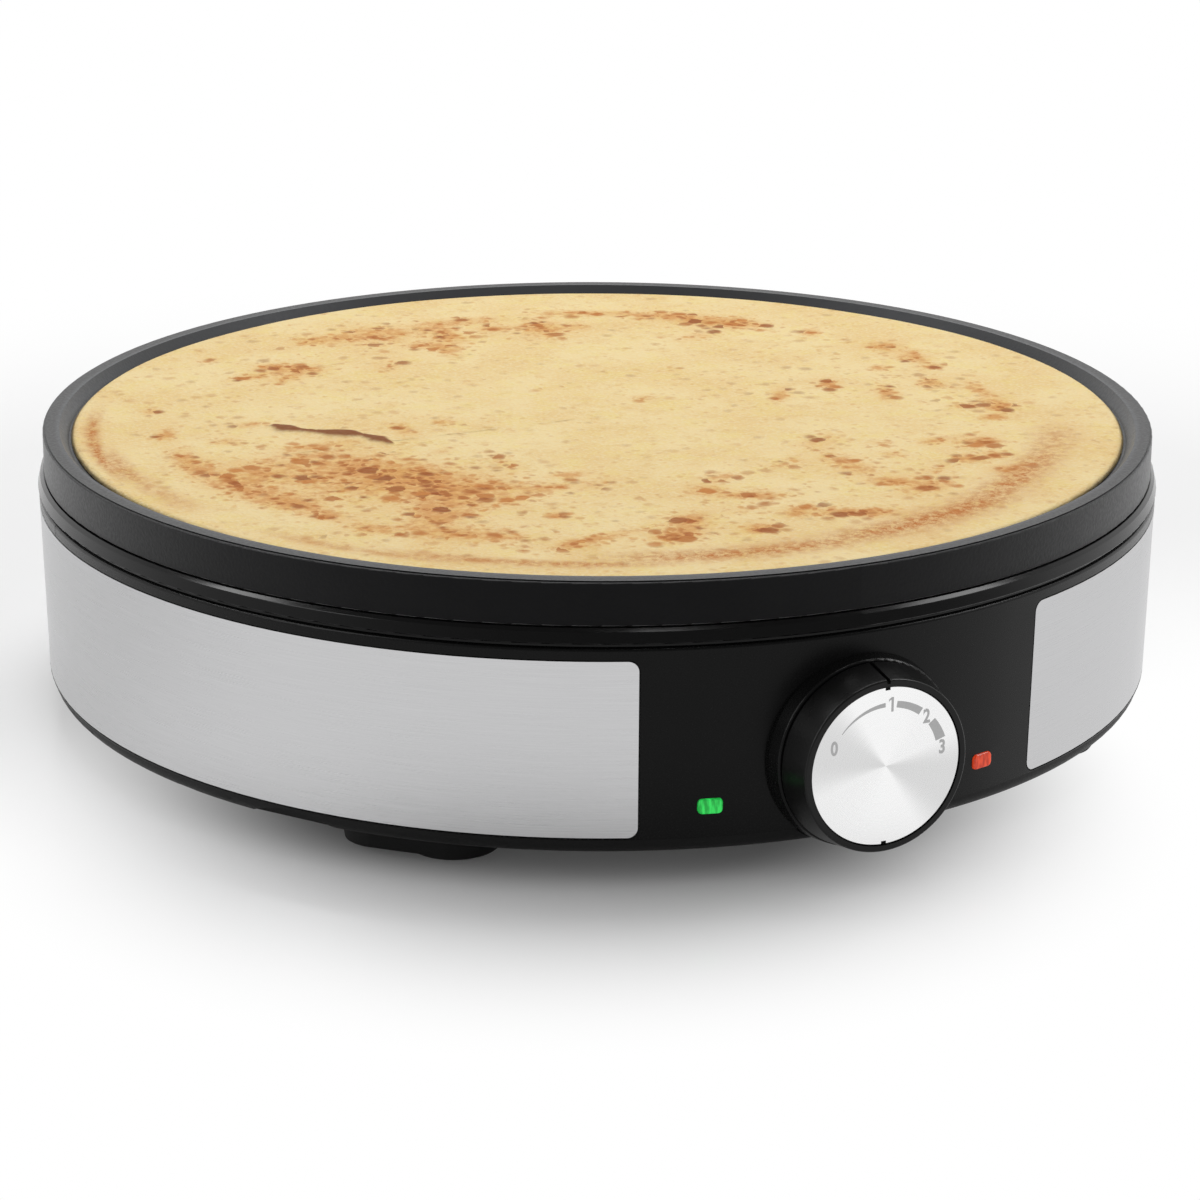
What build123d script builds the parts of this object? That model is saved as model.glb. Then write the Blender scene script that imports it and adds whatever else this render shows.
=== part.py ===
"""Electric crepe maker: a round cast baking plate on a low round housing with one front dial.

Frame: millimetres, +Z up, the origin on the plate's axis at worktop level. The dial faces -Y.
Azimuths run from the dial (-Y) towards +X, in degrees. The dial stands at setting 1.
"""
from build123d import *
from math import cos, degrees, radians, sin
import os

# ---- Heights, from the worktop upwards ------------------------------------------------------
foot_proud = 3.0            # rubber foot below its leg
leg_depth = 5.5             # leg below the tray
lip_height = 4.1            # rounded lip of the tray
housing_height = 50.7       # wall of the two shells
ring_height = 4.95           # glossy ring under the plate
ring_gap = 0.3              # air between the ring and the plate
skirt_depth = 11.45          # outside wall of the plate

tray_bottom = foot_proud + leg_depth
housing_bottom = tray_bottom + lip_height
housing_top = housing_bottom + housing_height
ring_top = housing_top + ring_height
plate_bottom = ring_top + ring_gap
plate_top = plate_bottom + skirt_depth

# ---- Clearances -----------------------------------------------------------------------------
fit_gap = 0.3               # between curved faces that nest
slip_gap = 0.1              # between flat pieces slid into each other
hole_gap = 0.05             # round a screw in the hole that it cuts
running_gap = 0.05          # radial, round the thermostat's shaft
dial_gap = 0.4              # between the dial and the boss behind it
clear_hole = 0.3            # radial, round a screw that passes through

# ---- Baking plate ---------------------------------------------------------------------------
plate_radius = 155.0
rim_width = 4.6
rim_depth = 3.0             # rim above the cooking face
rim_slope = 2.6             # run of the slope inside the rim
rim_ledge = 0.75            # lower ledge round the outside of the rim
rim_step = 0.35             # drop from the rim to its ledge
plate_thickness = 5.0
skirt_wall = 4.0
rim_round = 0.3
cooking_face = plate_top - rim_depth
plate_under = cooking_face - plate_thickness
rib_count = 16
rib_wall = 2.4
rib_depth = 3.5

# ---- Crepe ----------------------------------------------------------------------------------
crepe_margin = 0.4          # bare plate between the crepe and the slope of the rim
crepe_radius = plate_radius - rim_width - rim_slope - crepe_margin
crepe_thickness = 1.3

# ---- Housing shells -------------------------------------------------------------------------
ring_reach = 1.85           # of the glossy ring beyond the plate
ring_overhang = 0.25        # of the ring beyond the top of the wall
housing_draft = 1.0         # the foot of the wall is narrower by this
housing_wall = 2.9
housing_edge = 0.8          # round of the wall's top edge
flange_width = 7.0
flange_thickness = 2.5
seam_azimuth = 93.6
seam_gap = 0.3
seam_screw_height = 40.0
lug_width = 7.0
lug_reach = 9.0
lug_height = 12.0
ring_radius = plate_radius + ring_reach
housing_top_radius = ring_radius - ring_overhang
housing_bottom_radius = housing_top_radius - housing_draft
wall_inner = housing_bottom_radius - housing_wall

# ---- Glossy ring ----------------------------------------------------------------------------
ring_width = 9.6
ring_lean = 0.7             # the top of its side stands back by this
ring_bevel = 0.85           # chamfer that catches the light under the plate
ring_round = 0.25
groove_height = 1.1         # shadow groove between the ring and the wall
groove_depth = 1.2
stud_count = 8
stud_radius = 1.5
stud_inset = 2.6
stud_hook = 1.6

# ---- Steel panels ---------------------------------------------------------------------------
panel_thickness = 0.6
panel_end = 21.1            # azimuth of the ends beside the dial, and mirrored at the back
panel_band = 3.4            # black band left above the panel
panel_foot = 0.6            # black edge left below the panel
panel_corner = 2.7
panel_line = 0.35           # dark line round the panel
tab_width = 9.0
tab_length = 6.0
tab_count = 4

# ---- Base tray ------------------------------------------------------------------------------
tray_floor = 2.5
lip_step = 0.6              # the lip stands back from the wall by this
lip_radius = housing_bottom_radius - lip_step
lip_round = 3.0
spigot_wall = 2.0
spigot_height = 5.4
notch_width = 27.0
notch_rise = 3.4
notch_depth = 3.5           # from the lip inwards
notch_azimuths = (55, 125, 235, 305)
vent_count = 18
vent_length = 26.0
vent_width = 3.2
vent_pitch_radius = 62.0

# ---- Legs and feet --------------------------------------------------------------------------
leg_azimuths = (43.7, 136.3, 223.7, 316.3)
leg_inset = 23.0            # middle of a leg, from the lip
leg_pitch_radius = lip_radius - leg_inset
leg_span = 42.5             # along the rim
leg_reach = 34.0            # towards the axis
leg_corner = 11.0
leg_draft = 8.0
leg_wall = 2.2              # round and under the hollow inside a leg
foot_azimuths = (40.9, 139.1, 220.9, 319.1)     # a foot is off the middle of its leg
foot_radius = 12.0
foot_sink = 2.0             # what the foot sits in its leg
foot_edge = 1.0
foot_stud_radius = 3.0
foot_stud_length = 4.5

# ---- Screws ---------------------------------------------------------------------------------
tray_screw_azimuths = (32, 78, 110, 152, 208, 250, 282, 328)
tray_screw_radius = 1.6
tray_head_radius = 3.4
tray_head_height = 1.8
tray_screw_length = 15.0
screw_boss_radius = 4.5
screw_boss_height = 18.0
seat_rise = 2.5             # raised pad round each screw in the tray
head_sink = 2.2             # depth of the pocket for a screw head

# ---- Pillars between the tray and the plate -------------------------------------------------
pillar_azimuths = (60, 120, 240, 300)
pillar_inset = 32.7         # from the inside of the wall
pillar_pitch_radius = wall_inner - pillar_inset
pillar_radius = 4.5
pillar_boss_radius = 6.5
pillar_boss_height = 13.0
plate_screw_radius = 2.0
plate_head_radius = 3.8
plate_head_height = 2.0
plate_boss_radius = 6.0
plate_boss_depth = 14.0
plate_screw_bite = 11.0

# ---- Heat shield ----------------------------------------------------------------------------
shield_thickness = 0.6
shield_inset = 18.7         # edge of the shield, from the inside of the wall
shield_radius = wall_inner - shield_inset
shield_flare = 6.0
shield_rise = 5.0
shield_air = 2.5            # round an element leg

# ---- Heating element ------------------------------------------------------------------------
element_inset = 60.0        # from the edge of the plate
element_radius = plate_radius - element_inset
element_tube = 3.3          # tube radius
element_bend = 8.0
element_open = 16.0         # half of the gap at the back, degrees
element_leg = 18.0
channel_wall = 1.6
channel_depth = 5.5
channel_stop = 1.5          # the channel ends this many degrees before the ring does
bead_radius = 4.0
bead_length = 5.0
bead_chamfer = 0.6
cold_pin_radius = 1.5
cold_pin_length = 7.0
blade_width = 6.3
blade_thickness = 0.8
blade_length = 9.0
clip_azimuths = (40, 100, 260, 320)
clip_width = 12.0
clip_thickness = 1.0
clip_reach = 12.0           # from the tube to the screw of its clip
clip_pitch_radius = element_radius - clip_reach
clip_boss_radius = 4.0
small_screw_radius = 1.5
small_head_radius = 2.8
small_head_height = 1.6
small_screw_bite = 5.0

# ---- Dial and thermostat --------------------------------------------------------------------
dial_height = 32.1          # axis above the worktop
boss_radius = 25.4
boss_front_radius = 24.7
boss_reach = 3.4            # of its face beyond the top of the wall
boss_face = housing_top_radius + boss_reach
boss_floor = 3.0
boss_bore = 21.5
boss_root = 2.7             # of its back inside the wall
boss_back = wall_inner - boss_root
boss_edge = 0.6
dial_depth = 9.8            # of the metal disc before the face of the boss
knob_face = boss_face + dial_depth
knob_back_radius = 24.3
knob_front_radius = 22.6
knob_wall = 1.8
knob_web = 2.2
knob_lip = 0.3              # black edge that stands proud of the disc
knob_edge = 0.5
knob_hub_radius = 6.0
knob_rib_count = 6
knob_groove = 1.0
disc_radius = 20.9
disc_thickness = 0.8
shaft_radius = 3.0
shaft_flat = 1.5            # depth of the D flat
shaft_tail = 8.0            # length inside the thermostat
spring_thickness = 0.5
bush_radius = 4.8
bush_flange_radius = 6.4
bush_flange = 1.0
bracket_length = 36.0
bracket_height = 16.0
bracket_thickness = 1.2
bracket_pitch = 28.0
thermostat_width = 22.0
thermostat_height = 25.0
thermostat_depth = 21.0
diaphragm_radius = 10.0
diaphragm_depth = 3.0

# ---- Sensor bulb and capillary --------------------------------------------------------------
bulb_radius = 3.0
bulb_length = 70.0
bulb_inset = 43.0           # from the element's ring, on the dial's side
bulb_offset = element_radius - bulb_inset
capillary_radius = 1.0
capillary_azimuth = 27.2    # where it passes through the shield
capillary_inset = 16.3      # from the element's ring
capillary_hole_radius = 4.0
capillary_end_x = 5.0
saddle_width = 10.0
saddle_thickness = 0.8
saddle_pitch = 18.0         # between the two screws of a saddle
saddle_drop = 4.0           # boss under the plate that the saddle is screwed to
saddle_spread = 20.0        # of the two saddles, either side of the bulb's middle

# ---- Thermal cut-out ------------------------------------------------------------------------
cutout_x = -40.0
cutout_y = 35.0
cutout_radius = 8.0
cutout_cap = 4.0            # metal cap above the ears
cutout_base = 5.0           # moulded body below the ears
cutout_pitch = 24.0
cutout_ear = 1.0

# ---- Pilot lamps ----------------------------------------------------------------------------
lamp_azimuth = 14.45
lamp_height = 21.0
lens_width = 6.4
lens_height = 4.0
lens_proud = 0.6
lens_corner = 1.3
lens_flange = 1.4
lens_flange_thickness = 1.2
holder_width = 11.0
holder_height = 9.0
holder_depth = 15.0
holder_bore = 2.8
neon_radius = 2.4
neon_length = 11.0

# ---- Mains entry ----------------------------------------------------------------------------
gland_height = 28.0
gland_bore = 3.6
gland_radius = 6.2
gland_flange_radius = 8.8
gland_flange = 2.4
gland_tail = 8.0
gland_hook = 1.6
gland_seat_rise = 0.6       # of the gland's flat seat beyond the top of the wall
gland_seat = housing_top_radius + gland_seat_rise
gland_seat_radius = 11.0
clamp_bite = 0.8            # what the clamp squeezes the cord
clamp_screw_length = 10.0
clamp_pitch = 20.0
clamp_inset = 20.7          # middle of the clamp, from the inside of the wall
clamp_radius_from_axis = wall_inner - clamp_inset
clamp_bar_width = 8.0
clamp_bar_thickness = 3.0
clamp_post_radius = 4.0
terminal_x = 45.0
terminal_y = 95.0
terminal_length = 32.0
terminal_width = 16.0
terminal_height = 13.0
terminal_ways = 3
terminal_bore = 1.9
terminal_post_height = 8.0
terminal_ear = 2.0

BASE = (Align.CENTER, Align.CENTER, Align.MIN)


# ---- Helpers --------------------------------------------------------------------------------
def turned(outline, start=0.0, end=360.0):
    """Revolves an (r, z) outline about the plate's axis, between two azimuths."""
    face = Plane.XZ * make_face(Polyline(*outline, close=True))
    return Rot(0, 0, start - 90) * revolve(face, Axis.Z, end - start)


def column(radius, low, high):
    """An upright cylinder on the axis."""
    return Pos(0, 0, low) * Cylinder(radius, high - low, align=BASE)


def spot(azimuth, radius, z=0.0):
    """A place on a circle round the axis, its local -Y pointing outwards."""
    return Rot(0, 0, azimuth) * Pos(0, -radius, z)


def outward(azimuth, z):
    """A frame at a height on the axis, whose +Z points outwards at an azimuth and +Y up."""
    return Rot(0, 0, azimuth) * Plane(origin=(0, 0, z), x_dir=(1, 0, 0), z_dir=(0, -1, 0)).location


def wall_radius(z):
    """Outside radius of the drafted housing wall at a height."""
    share = (z - housing_bottom) / housing_height
    return housing_bottom_radius + (housing_top_radius - housing_bottom_radius) * share


def joined(pieces):
    """One shape from several that touch or overlap."""
    pieces = list(pieces)
    return pieces[0].fuse(*pieces[1:]) if len(pieces) > 1 else pieces[0]


def group(pieces):
    """Separate solids in one node."""
    return Compound(children=[solid for piece in pieces for solid in piece.solids()])


def screw(radius, length, head_radius, head_height):
    """A pan-head screw that points up, with the underside of its head at z = 0."""
    head = Pos(0, 0, -head_height) * Cylinder(head_radius, head_height, align=BASE)
    head = chamfer(head.edges().group_by(Axis.Z)[0], head_height * 0.4)
    slot = Pos(0, 0, -head_height) * Box(head_radius * 1.4, radius * 0.5, head_height * 0.8)
    cross = Rot(0, 0, 90) * slot
    shank = Cylinder(radius, length, align=BASE)
    shank = chamfer(shank.edges().group_by(Axis.Z)[-1], radius * 0.4)
    return head + shank - slot - cross


# ---- Plate, crepe and what hangs from the plate ---------------------------------------------
shield_top = plate_under - plate_boss_depth
shield_under = shield_top - shield_thickness
element_z = plate_under - element_tube - slip_gap
clip_z = element_z - element_tube - slip_gap
bulb_z = plate_under - bulb_radius - slip_gap
saddle_base = plate_under - saddle_drop
saddle_places = (-saddle_spread, saddle_spread)
cutout_seat = plate_under - cutout_cap
cutout_ears = (cutout_x - cutout_pitch / 2, cutout_x + cutout_pitch / 2)


def baking_plate():
    inner = plate_radius - skirt_wall
    plate = turned([
        (0, plate_under), (inner, plate_under), (inner, plate_bottom),
        (plate_radius, plate_bottom), (plate_radius, plate_top - rim_step),
        (plate_radius - rim_ledge, plate_top - rim_step), (plate_radius - rim_ledge, plate_top),
        (plate_radius - rim_width, plate_top),
        (plate_radius - rim_width - rim_slope, cooking_face), (0, cooking_face)])
    rim = [edge for edge in plate.edges().filter_by(GeomType.CIRCLE)
           if abs(edge.radius - plate_radius) < 0.01]
    plate = fillet(rim, rim_round)
    sides = []
    for radius in (element_radius - element_tube - slip_gap - channel_wall,
                   element_radius + element_tube + slip_gap):
        sides.append(turned([
            (radius, plate_under - channel_depth), (radius + channel_wall, plate_under - channel_depth),
            (radius + channel_wall, plate_under), (radius, plate_under)],
            180 + element_open + channel_stop, 540 - element_open - channel_stop))
    rib_start = element_radius + element_tube + slip_gap + channel_wall / 2
    ribs = []
    for turn in range(rib_count):
        rib = Box(rib_wall, inner - rib_start + 1, rib_depth, align=(Align.CENTER, Align.MAX, Align.MAX))
        ribs.append(Rot(0, 0, (turn + 0.5) * 360 / rib_count) * Pos(0, -rib_start, plate_under) * rib)
    pillars = [spot(a, pillar_pitch_radius) * column(plate_boss_radius, shield_top, plate_under)
               for a in pillar_azimuths]
    clips = [spot(a, clip_pitch_radius) * column(clip_boss_radius, clip_z, plate_under)
             for a in clip_azimuths]
    saddles = [Pos(x, -bulb_offset - saddle_pitch / 2 * side, 0)
               * column(clip_boss_radius, saddle_base, plate_under)
               for x in saddle_places for side in (-1, 1)]
    ears = [Pos(x, cutout_y, 0) * column(clip_boss_radius, cutout_seat, plate_under)
            for x in cutout_ears]
    plate = plate.fuse(*sides, *ribs, *pillars, *clips, *saddles, *ears)
    holes = [spot(a, pillar_pitch_radius)
             * column(plate_screw_radius + hole_gap, shield_top, shield_top + plate_screw_bite + 1)
             for a in pillar_azimuths]
    holes += [spot(a, clip_pitch_radius) * small_hole(clip_z) for a in clip_azimuths]
    holes += [Pos(x, -bulb_offset - saddle_pitch / 2 * side, 0) * small_hole(saddle_base)
              for x in saddle_places for side in (-1, 1)]
    holes += [Pos(x, cutout_y, 0) * small_hole(cutout_seat) for x in cutout_ears]
    return plate.cut(*holes)


def small_hole(low):
    return column(small_screw_radius + hole_gap, low, low + small_screw_bite + 1)


def small_screw(low, grip):
    """A small screw whose head bears on a plate of thickness grip under a boss that ends at low."""
    return Pos(0, 0, low - grip) * screw(small_screw_radius, grip + small_screw_bite,
                                         small_head_radius, small_head_height)


def crepe():
    low = cooking_face + fit_gap
    disc = column(crepe_radius, low, low + crepe_thickness)
    return fillet(disc.edges().group_by(Axis.Z)[-1], crepe_thickness * 0.45)


def heating_element():
    """Tubular ring in the plate's channel, open at the back, with two ends turned down."""
    start = Vector(0, element_radius).rotate(Axis.Z, element_open)
    back = Vector(1, 0).rotate(Axis.Z, element_open)
    left = element_tail(start, back)
    right = element_tail(Vector(-start.X, start.Y), Vector(-back.X, back.Y))
    loop = CenterArc((0, 0), element_radius, 90 + element_open, 360 - 2 * element_open)
    path = Wire(left[::-1] + [loop] + right)
    section = Plane(path @ 0, z_dir=path % 0) * Circle(element_tube)
    return Pos(0, 0, element_z) * sweep(section, path=path)


def element_tail(start, way):
    """The bend and the straight leg that follow the ring at a point, heading along way."""
    centre = start + Vector(0, 0, -element_bend)
    middle = centre + (way * sin(radians(45)) + Vector(0, 0, cos(radians(45)))) * element_bend
    corner = centre + way * element_bend
    return [ThreePointArc(start, middle, corner), Line(corner, corner - Vector(0, 0, element_leg))]


def element_ends():
    """The centres of the two leg ends."""
    start = Vector(0, element_radius).rotate(Axis.Z, element_open)
    way = Vector(1, 0).rotate(Axis.Z, element_open)
    end = start + way * element_bend + Vector(0, 0, element_z - element_bend - element_leg)
    return [end, Vector(-end.X, end.Y, end.Z)]


def element_beads():
    """Ceramic beads that close the tube's two ends."""
    bead = Pos(0, 0, -bead_length) * Cylinder(bead_radius, bead_length, align=BASE)
    bead = chamfer(bead.edges().group_by(Axis.Z)[0], bead_chamfer)
    bead = bead - Pos(0, 0, -bead_length) * Cylinder(cold_pin_radius, bead_length, align=BASE)
    return group(Pos(*end) * bead for end in element_ends())


def element_blades():
    """Cold pins with flat blades for push-on connectors."""
    length = bead_length + cold_pin_length
    pin = Pos(0, 0, -length) * Cylinder(cold_pin_radius, length, align=BASE)
    blade = Pos(0, 0, -length - blade_length / 2) * Box(blade_width, blade_thickness, blade_length + 2)
    blade = chamfer(blade.edges().filter_by(Axis.Y).group_by(Axis.Z)[0], blade_width / 5)
    return group(Pos(*end) * (pin + blade) for end in element_ends())


def element_clips():
    """Steel straps that press the element into its channel, each held by one screw."""
    near = clip_pitch_radius - clip_boss_radius - 1
    far = element_radius + element_tube + channel_wall + 1
    strap = Pos(0, -(near + far) / 2, clip_z - clip_thickness / 2)
    strap = strap * extrude(RectangleRounded(clip_width, far - near, clip_width / 4),
                            clip_thickness / 2, both=True)
    strap = strap - Pos(0, -clip_pitch_radius, 0) * small_pass(clip_z - clip_thickness, clip_z)
    return group(Rot(0, 0, azimuth) * strap for azimuth in clip_azimuths)


def small_pass(low, high):
    return column(small_screw_radius + clear_hole, low - 1, high + 1)


def clip_screws():
    return group(spot(azimuth, clip_pitch_radius) * small_screw(clip_z, clip_thickness)
                 for azimuth in clip_azimuths)


def heat_shield():
    """Spun dish under the element, with a flared rim and openings for what passes through."""
    dish = turned([
        (0, shield_under), (shield_radius, shield_under),
        (shield_radius + shield_flare, shield_under + shield_rise),
        (shield_radius + shield_flare, shield_top + shield_rise),
        (shield_radius, shield_top), (0, shield_top)])
    reach = shield_thickness * 3
    holes = [spot(a, pillar_pitch_radius)
             * column(plate_screw_radius + clear_hole, shield_under - reach, shield_top + reach)
             for a in pillar_azimuths]
    holes += [Pos(end.X, end.Y, 0)
              * column(element_tube + shield_air, shield_under - reach, shield_top + reach)
              for end in element_ends()]
    window = RectangleRounded(cutout_pitch + 10, 2 * cutout_radius + 6, 3)
    holes.append(Pos(cutout_x, cutout_y, shield_under - reach) * extrude(window, 3 * reach))
    holes.append(spot(capillary_azimuth, element_radius - capillary_inset)
                 * column(capillary_hole_radius, shield_under - reach, shield_top + reach))
    return dish.cut(*holes)


def sensor_bulb():
    bulb = Rot(0, 90, 0) * Cylinder(bulb_radius, bulb_length)
    bulb = fillet(bulb.edges().filter_by(GeomType.CIRCLE), bulb_radius * 0.4)
    return Pos(0, -bulb_offset, bulb_z) * bulb


def bulb_saddles():
    """Two bent straps that hold the bulb against the plate."""
    inner = bulb_radius + slip_gap
    outer = inner + saddle_thickness
    seat = saddle_base - bulb_z
    ear_end = saddle_pitch / 2 + small_head_radius + 1
    low_half = Pos(0, seat - outer) * Rectangle(4 * outer, 2 * outer)
    hoop = (Circle(outer) - Circle(inner)) & low_half
    ears = [Pos(side * (inner + ear_end) / 2, seat - saddle_thickness / 2)
            * Rectangle(ear_end - inner, saddle_thickness) for side in (-1, 1)]
    outline = Plane.YZ * (hoop + ears[0] + ears[1])
    strap = extrude(outline, saddle_width / 2, both=True)
    strap = strap.cut(*[Pos(0, side * saddle_pitch / 2, 0) * Cylinder(small_screw_radius + clear_hole, 20)
                        for side in (-1, 1)])
    return group(Pos(x, -bulb_offset, bulb_z) * strap for x in saddle_places)


def saddle_screws():
    return group(Pos(x, -bulb_offset + side * saddle_pitch / 2, 0)
                 * small_screw(saddle_base, saddle_thickness)
                 for x in saddle_places for side in (-1, 1))


def routed(points, radius):
    """A round tube along straight runs joined by arcs as large as the runs allow."""
    points = [Vector(*point) for point in points]
    radii = []
    for before, corner, after in zip(points, points[1:], points[2:]):
        turn = (corner - before).get_angle(after - corner)
        shorter = min((corner - before).length, (after - corner).length)
        tangent = sin(radians(turn / 2)) / cos(radians(turn / 2))
        radii.append(0.45 * shorter / tangent)
    path = FilletPolyline(*points, radius=radii)
    section = Plane(path @ 0, z_dir=path % 0) * Circle(radius)
    return sweep(section, path=path)


def capillary():
    """Capillary from the bulb, down through the shield, to the back of the thermostat."""
    reach = element_radius - capillary_inset
    hole_x, hole_y = reach * sin(radians(capillary_azimuth)), -reach * cos(radians(capillary_azimuth))
    return routed([
        (bulb_length / 2, -bulb_offset, bulb_z),
        (bulb_length / 2 + 8, -bulb_offset, bulb_z),
        (hole_x + 3, hole_y + 4, shield_top + 5),
        (hole_x - 3, hole_y - 4, shield_under - 5),
        (hole_x - 9, hole_y - 17, dial_height + 12),
        (hole_x - 19, hole_y - 34, dial_height + 8),
        (capillary_end_x, -thermostat_back + 11, dial_height + 6),
        (capillary_end_x, -thermostat_back, dial_height + 6)], capillary_radius)


def thermal_cutout():
    """Round cut-out: metal cap against the plate, ears on two bosses, blades below."""
    cap = column(cutout_radius, cutout_seat, plate_under - slip_gap)
    cap = fillet(cap.edges().group_by(Axis.Z)[-1], 0.6)
    ears = RectangleRounded(cutout_pitch + 2 * clip_boss_radius, 2 * clip_boss_radius, clip_boss_radius - 0.1)
    ears = Pos(0, 0, cutout_seat - cutout_ear) * extrude(ears + Circle(cutout_radius), cutout_ear)
    low = cutout_seat - cutout_ear - cutout_base
    body = column(cutout_radius - 1, low, cutout_seat)
    blades = [Pos(side * 3.5, 0, low - blade_length / 2)
              * Box(blade_thickness, blade_width, blade_length + 1) for side in (-1, 1)]
    whole = joined([cap, ears, body] + blades)
    holes = [Pos(side * cutout_pitch / 2, 0, 0) * small_pass(cutout_seat - cutout_ear, cutout_seat)
             for side in (-1, 1)]
    return Pos(cutout_x, cutout_y, 0) * whole.cut(*holes)


def cutout_screws():
    return group(Pos(x, cutout_y, 0) * small_screw(cutout_seat, cutout_ear) for x in cutout_ears)


# ---- Housing --------------------------------------------------------------------------------
panel_top = housing_top - panel_band
panel_bottom = housing_bottom + panel_foot
tray_top = tray_bottom + tray_floor
boss_low = tray_top + seat_rise
tray_boss_ring = wall_inner - screw_boss_radius + 0.5
thermostat_front = boss_face - boss_floor - bracket_thickness - bush_flange
thermostat_back = thermostat_front - thermostat_depth - diaphragm_depth
dial = outward(0, dial_height)


def panel_slab(side, depth_from, depth_to, spread):
    """Curved slab that follows the wall, from one depth to another, over a panel's outline."""
    low = panel_bottom - spread
    high = panel_top + spread
    slack = degrees(spread / housing_bottom_radius)
    outline = [(wall_radius(low) - depth_from, low), (wall_radius(high) - depth_from, high),
               (wall_radius(high) - depth_to, high), (wall_radius(low) - depth_to, low)]
    start, end = panel_end - slack, 180 - panel_end + slack
    slab = turned(outline, start, end) if side > 0 else turned(outline, -end, -start)
    corners = [edge for edge in slab.edges() if edge.length < 1.05 * abs(depth_to - depth_from)
               and edge.geom_type == GeomType.LINE]
    return fillet(corners, panel_corner + spread)


def tab_places():
    step = (180 - 2 * panel_end) / tab_count
    return [panel_end + (turn + 0.5) * step for turn in range(tab_count)]


def tabs(side, spread):
    """Tongues on the inside of a panel, or the slots that they pass through."""
    middle = (panel_top + panel_bottom) / 2
    outer = wall_radius(middle) - panel_thickness / 2
    tab = Box(tab_width + 2 * spread, tab_length + spread, panel_thickness + 2 * spread,
              align=(Align.CENTER, Align.MIN, Align.CENTER))
    return [spot(side * azimuth, outer, middle) * tab for azimuth in tab_places()]


def housing_shell(start, end, screw_azimuths):
    """Drafted wall with an inward flange, panel pockets, screw bosses and lugs at the seams."""
    slack = degrees(seam_gap / 2 / housing_bottom_radius)
    shell = turned([
        (wall_inner, housing_bottom), (housing_bottom_radius, housing_bottom),
        (housing_top_radius, housing_top), (wall_inner - flange_width, housing_top),
        (wall_inner - flange_width, housing_top - flange_thickness),
        (wall_inner, housing_top - flange_thickness)], start + slack, end - slack)
    rim = [edge for edge in shell.edges().filter_by(GeomType.CIRCLE)
           if abs(edge.radius - housing_top_radius) < 0.01]
    shell = fillet(rim, housing_edge)
    added = [spot(azimuth, tray_boss_ring) * column(screw_boss_radius, boss_low, boss_low + screw_boss_height)
             for azimuth in screw_azimuths]
    lug = Box(lug_width, lug_reach + 1, lug_height, align=(Align.MIN, Align.MAX, Align.CENTER))
    for azimuth, side in ((start, 1), (end, -1)):
        flat = lug if side > 0 else mirror(lug, about=Plane.YZ)
        place = spot(azimuth + side * slack, wall_inner - lug_reach, seam_screw_height)
        added.append(place * flat)
    shell = shell.fuse(*added)
    cuts = [spot(azimuth, tray_boss_ring) * column(tray_screw_radius + hole_gap, boss_low, tray_screw_top + 1)
            for azimuth in screw_azimuths]
    cuts += [panel_slab(side, -1, panel_thickness + slip_gap, panel_line) for side in (-1, 1)]
    cuts += tabs(-1, slip_gap) + tabs(1, slip_gap)
    cuts += [stud_place(azimuth) * column(stud_radius + fit_gap, housing_top - 10, housing_top + 1)
             for azimuth in stud_azimuths()]
    for azimuth in (-seam_azimuth, seam_azimuth):
        cuts.append(seam_axis(azimuth) * Cylinder(small_screw_radius + hole_gap, 3 * lug_width))
    return shell.cut(*cuts)


def seam_axis(azimuth):
    """Frame on a seam screw, whose +Z runs along the wall towards larger azimuths."""
    return spot(azimuth, wall_inner - lug_reach / 2, seam_screw_height) * Rot(0, 90, 0)


def stud_azimuths():
    return [(turn + 0.5) * 360 / stud_count for turn in range(stud_count)]


def stud_place(azimuth):
    return spot(azimuth, ring_radius - ring_width + stud_inset)


def front_housing():
    """Front shell with the round boss for the dial and the two lamp windows."""
    shell = housing_shell(-seam_azimuth, seam_azimuth,
                          [a for a in tray_screw_azimuths if a < seam_azimuth or a > 360 - seam_azimuth])
    boss = Plane.XZ * make_face(Polyline(
        (0, boss_back), (boss_radius, boss_back), (boss_radius, wall_radius(dial_height)),
        (boss_front_radius, boss_face), (0, boss_face), close=True))
    boss = revolve(boss, Axis.Z, 360)
    boss = fillet(boss.edges().group_by(Axis.Z)[-1], boss_edge)
    shell = shell + dial * boss
    cuts = [dial * Pos(0, 0, boss_back - 5) * Cylinder(
        boss_bore, boss_face - boss_floor - boss_back + 5, align=BASE)]
    cuts.append(dial * Pos(0, 0, boss_back) * Cylinder(bush_radius + clear_hole, 20, align=BASE))
    for side in (-1, 1):
        cuts.append(dial * Pos(side * bracket_pitch / 2, 0, boss_back)
                    * Cylinder(small_screw_radius + clear_hole, 20, align=BASE))
        cuts.append(dial * Pos(side * bracket_pitch / 2, 0, boss_face - small_head_height - slip_gap)
                    * Cylinder(small_head_radius + clear_hole, 20, align=BASE))
        window = RectangleRounded(lens_width + 2 * slip_gap, lens_height + 2 * slip_gap, lens_corner)
        cuts.append(outward(side * lamp_azimuth, lamp_height) * Pos(0, 0, wall_inner - 8)
                    * extrude(window, 20))
    return shell.cut(*cuts)


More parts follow.
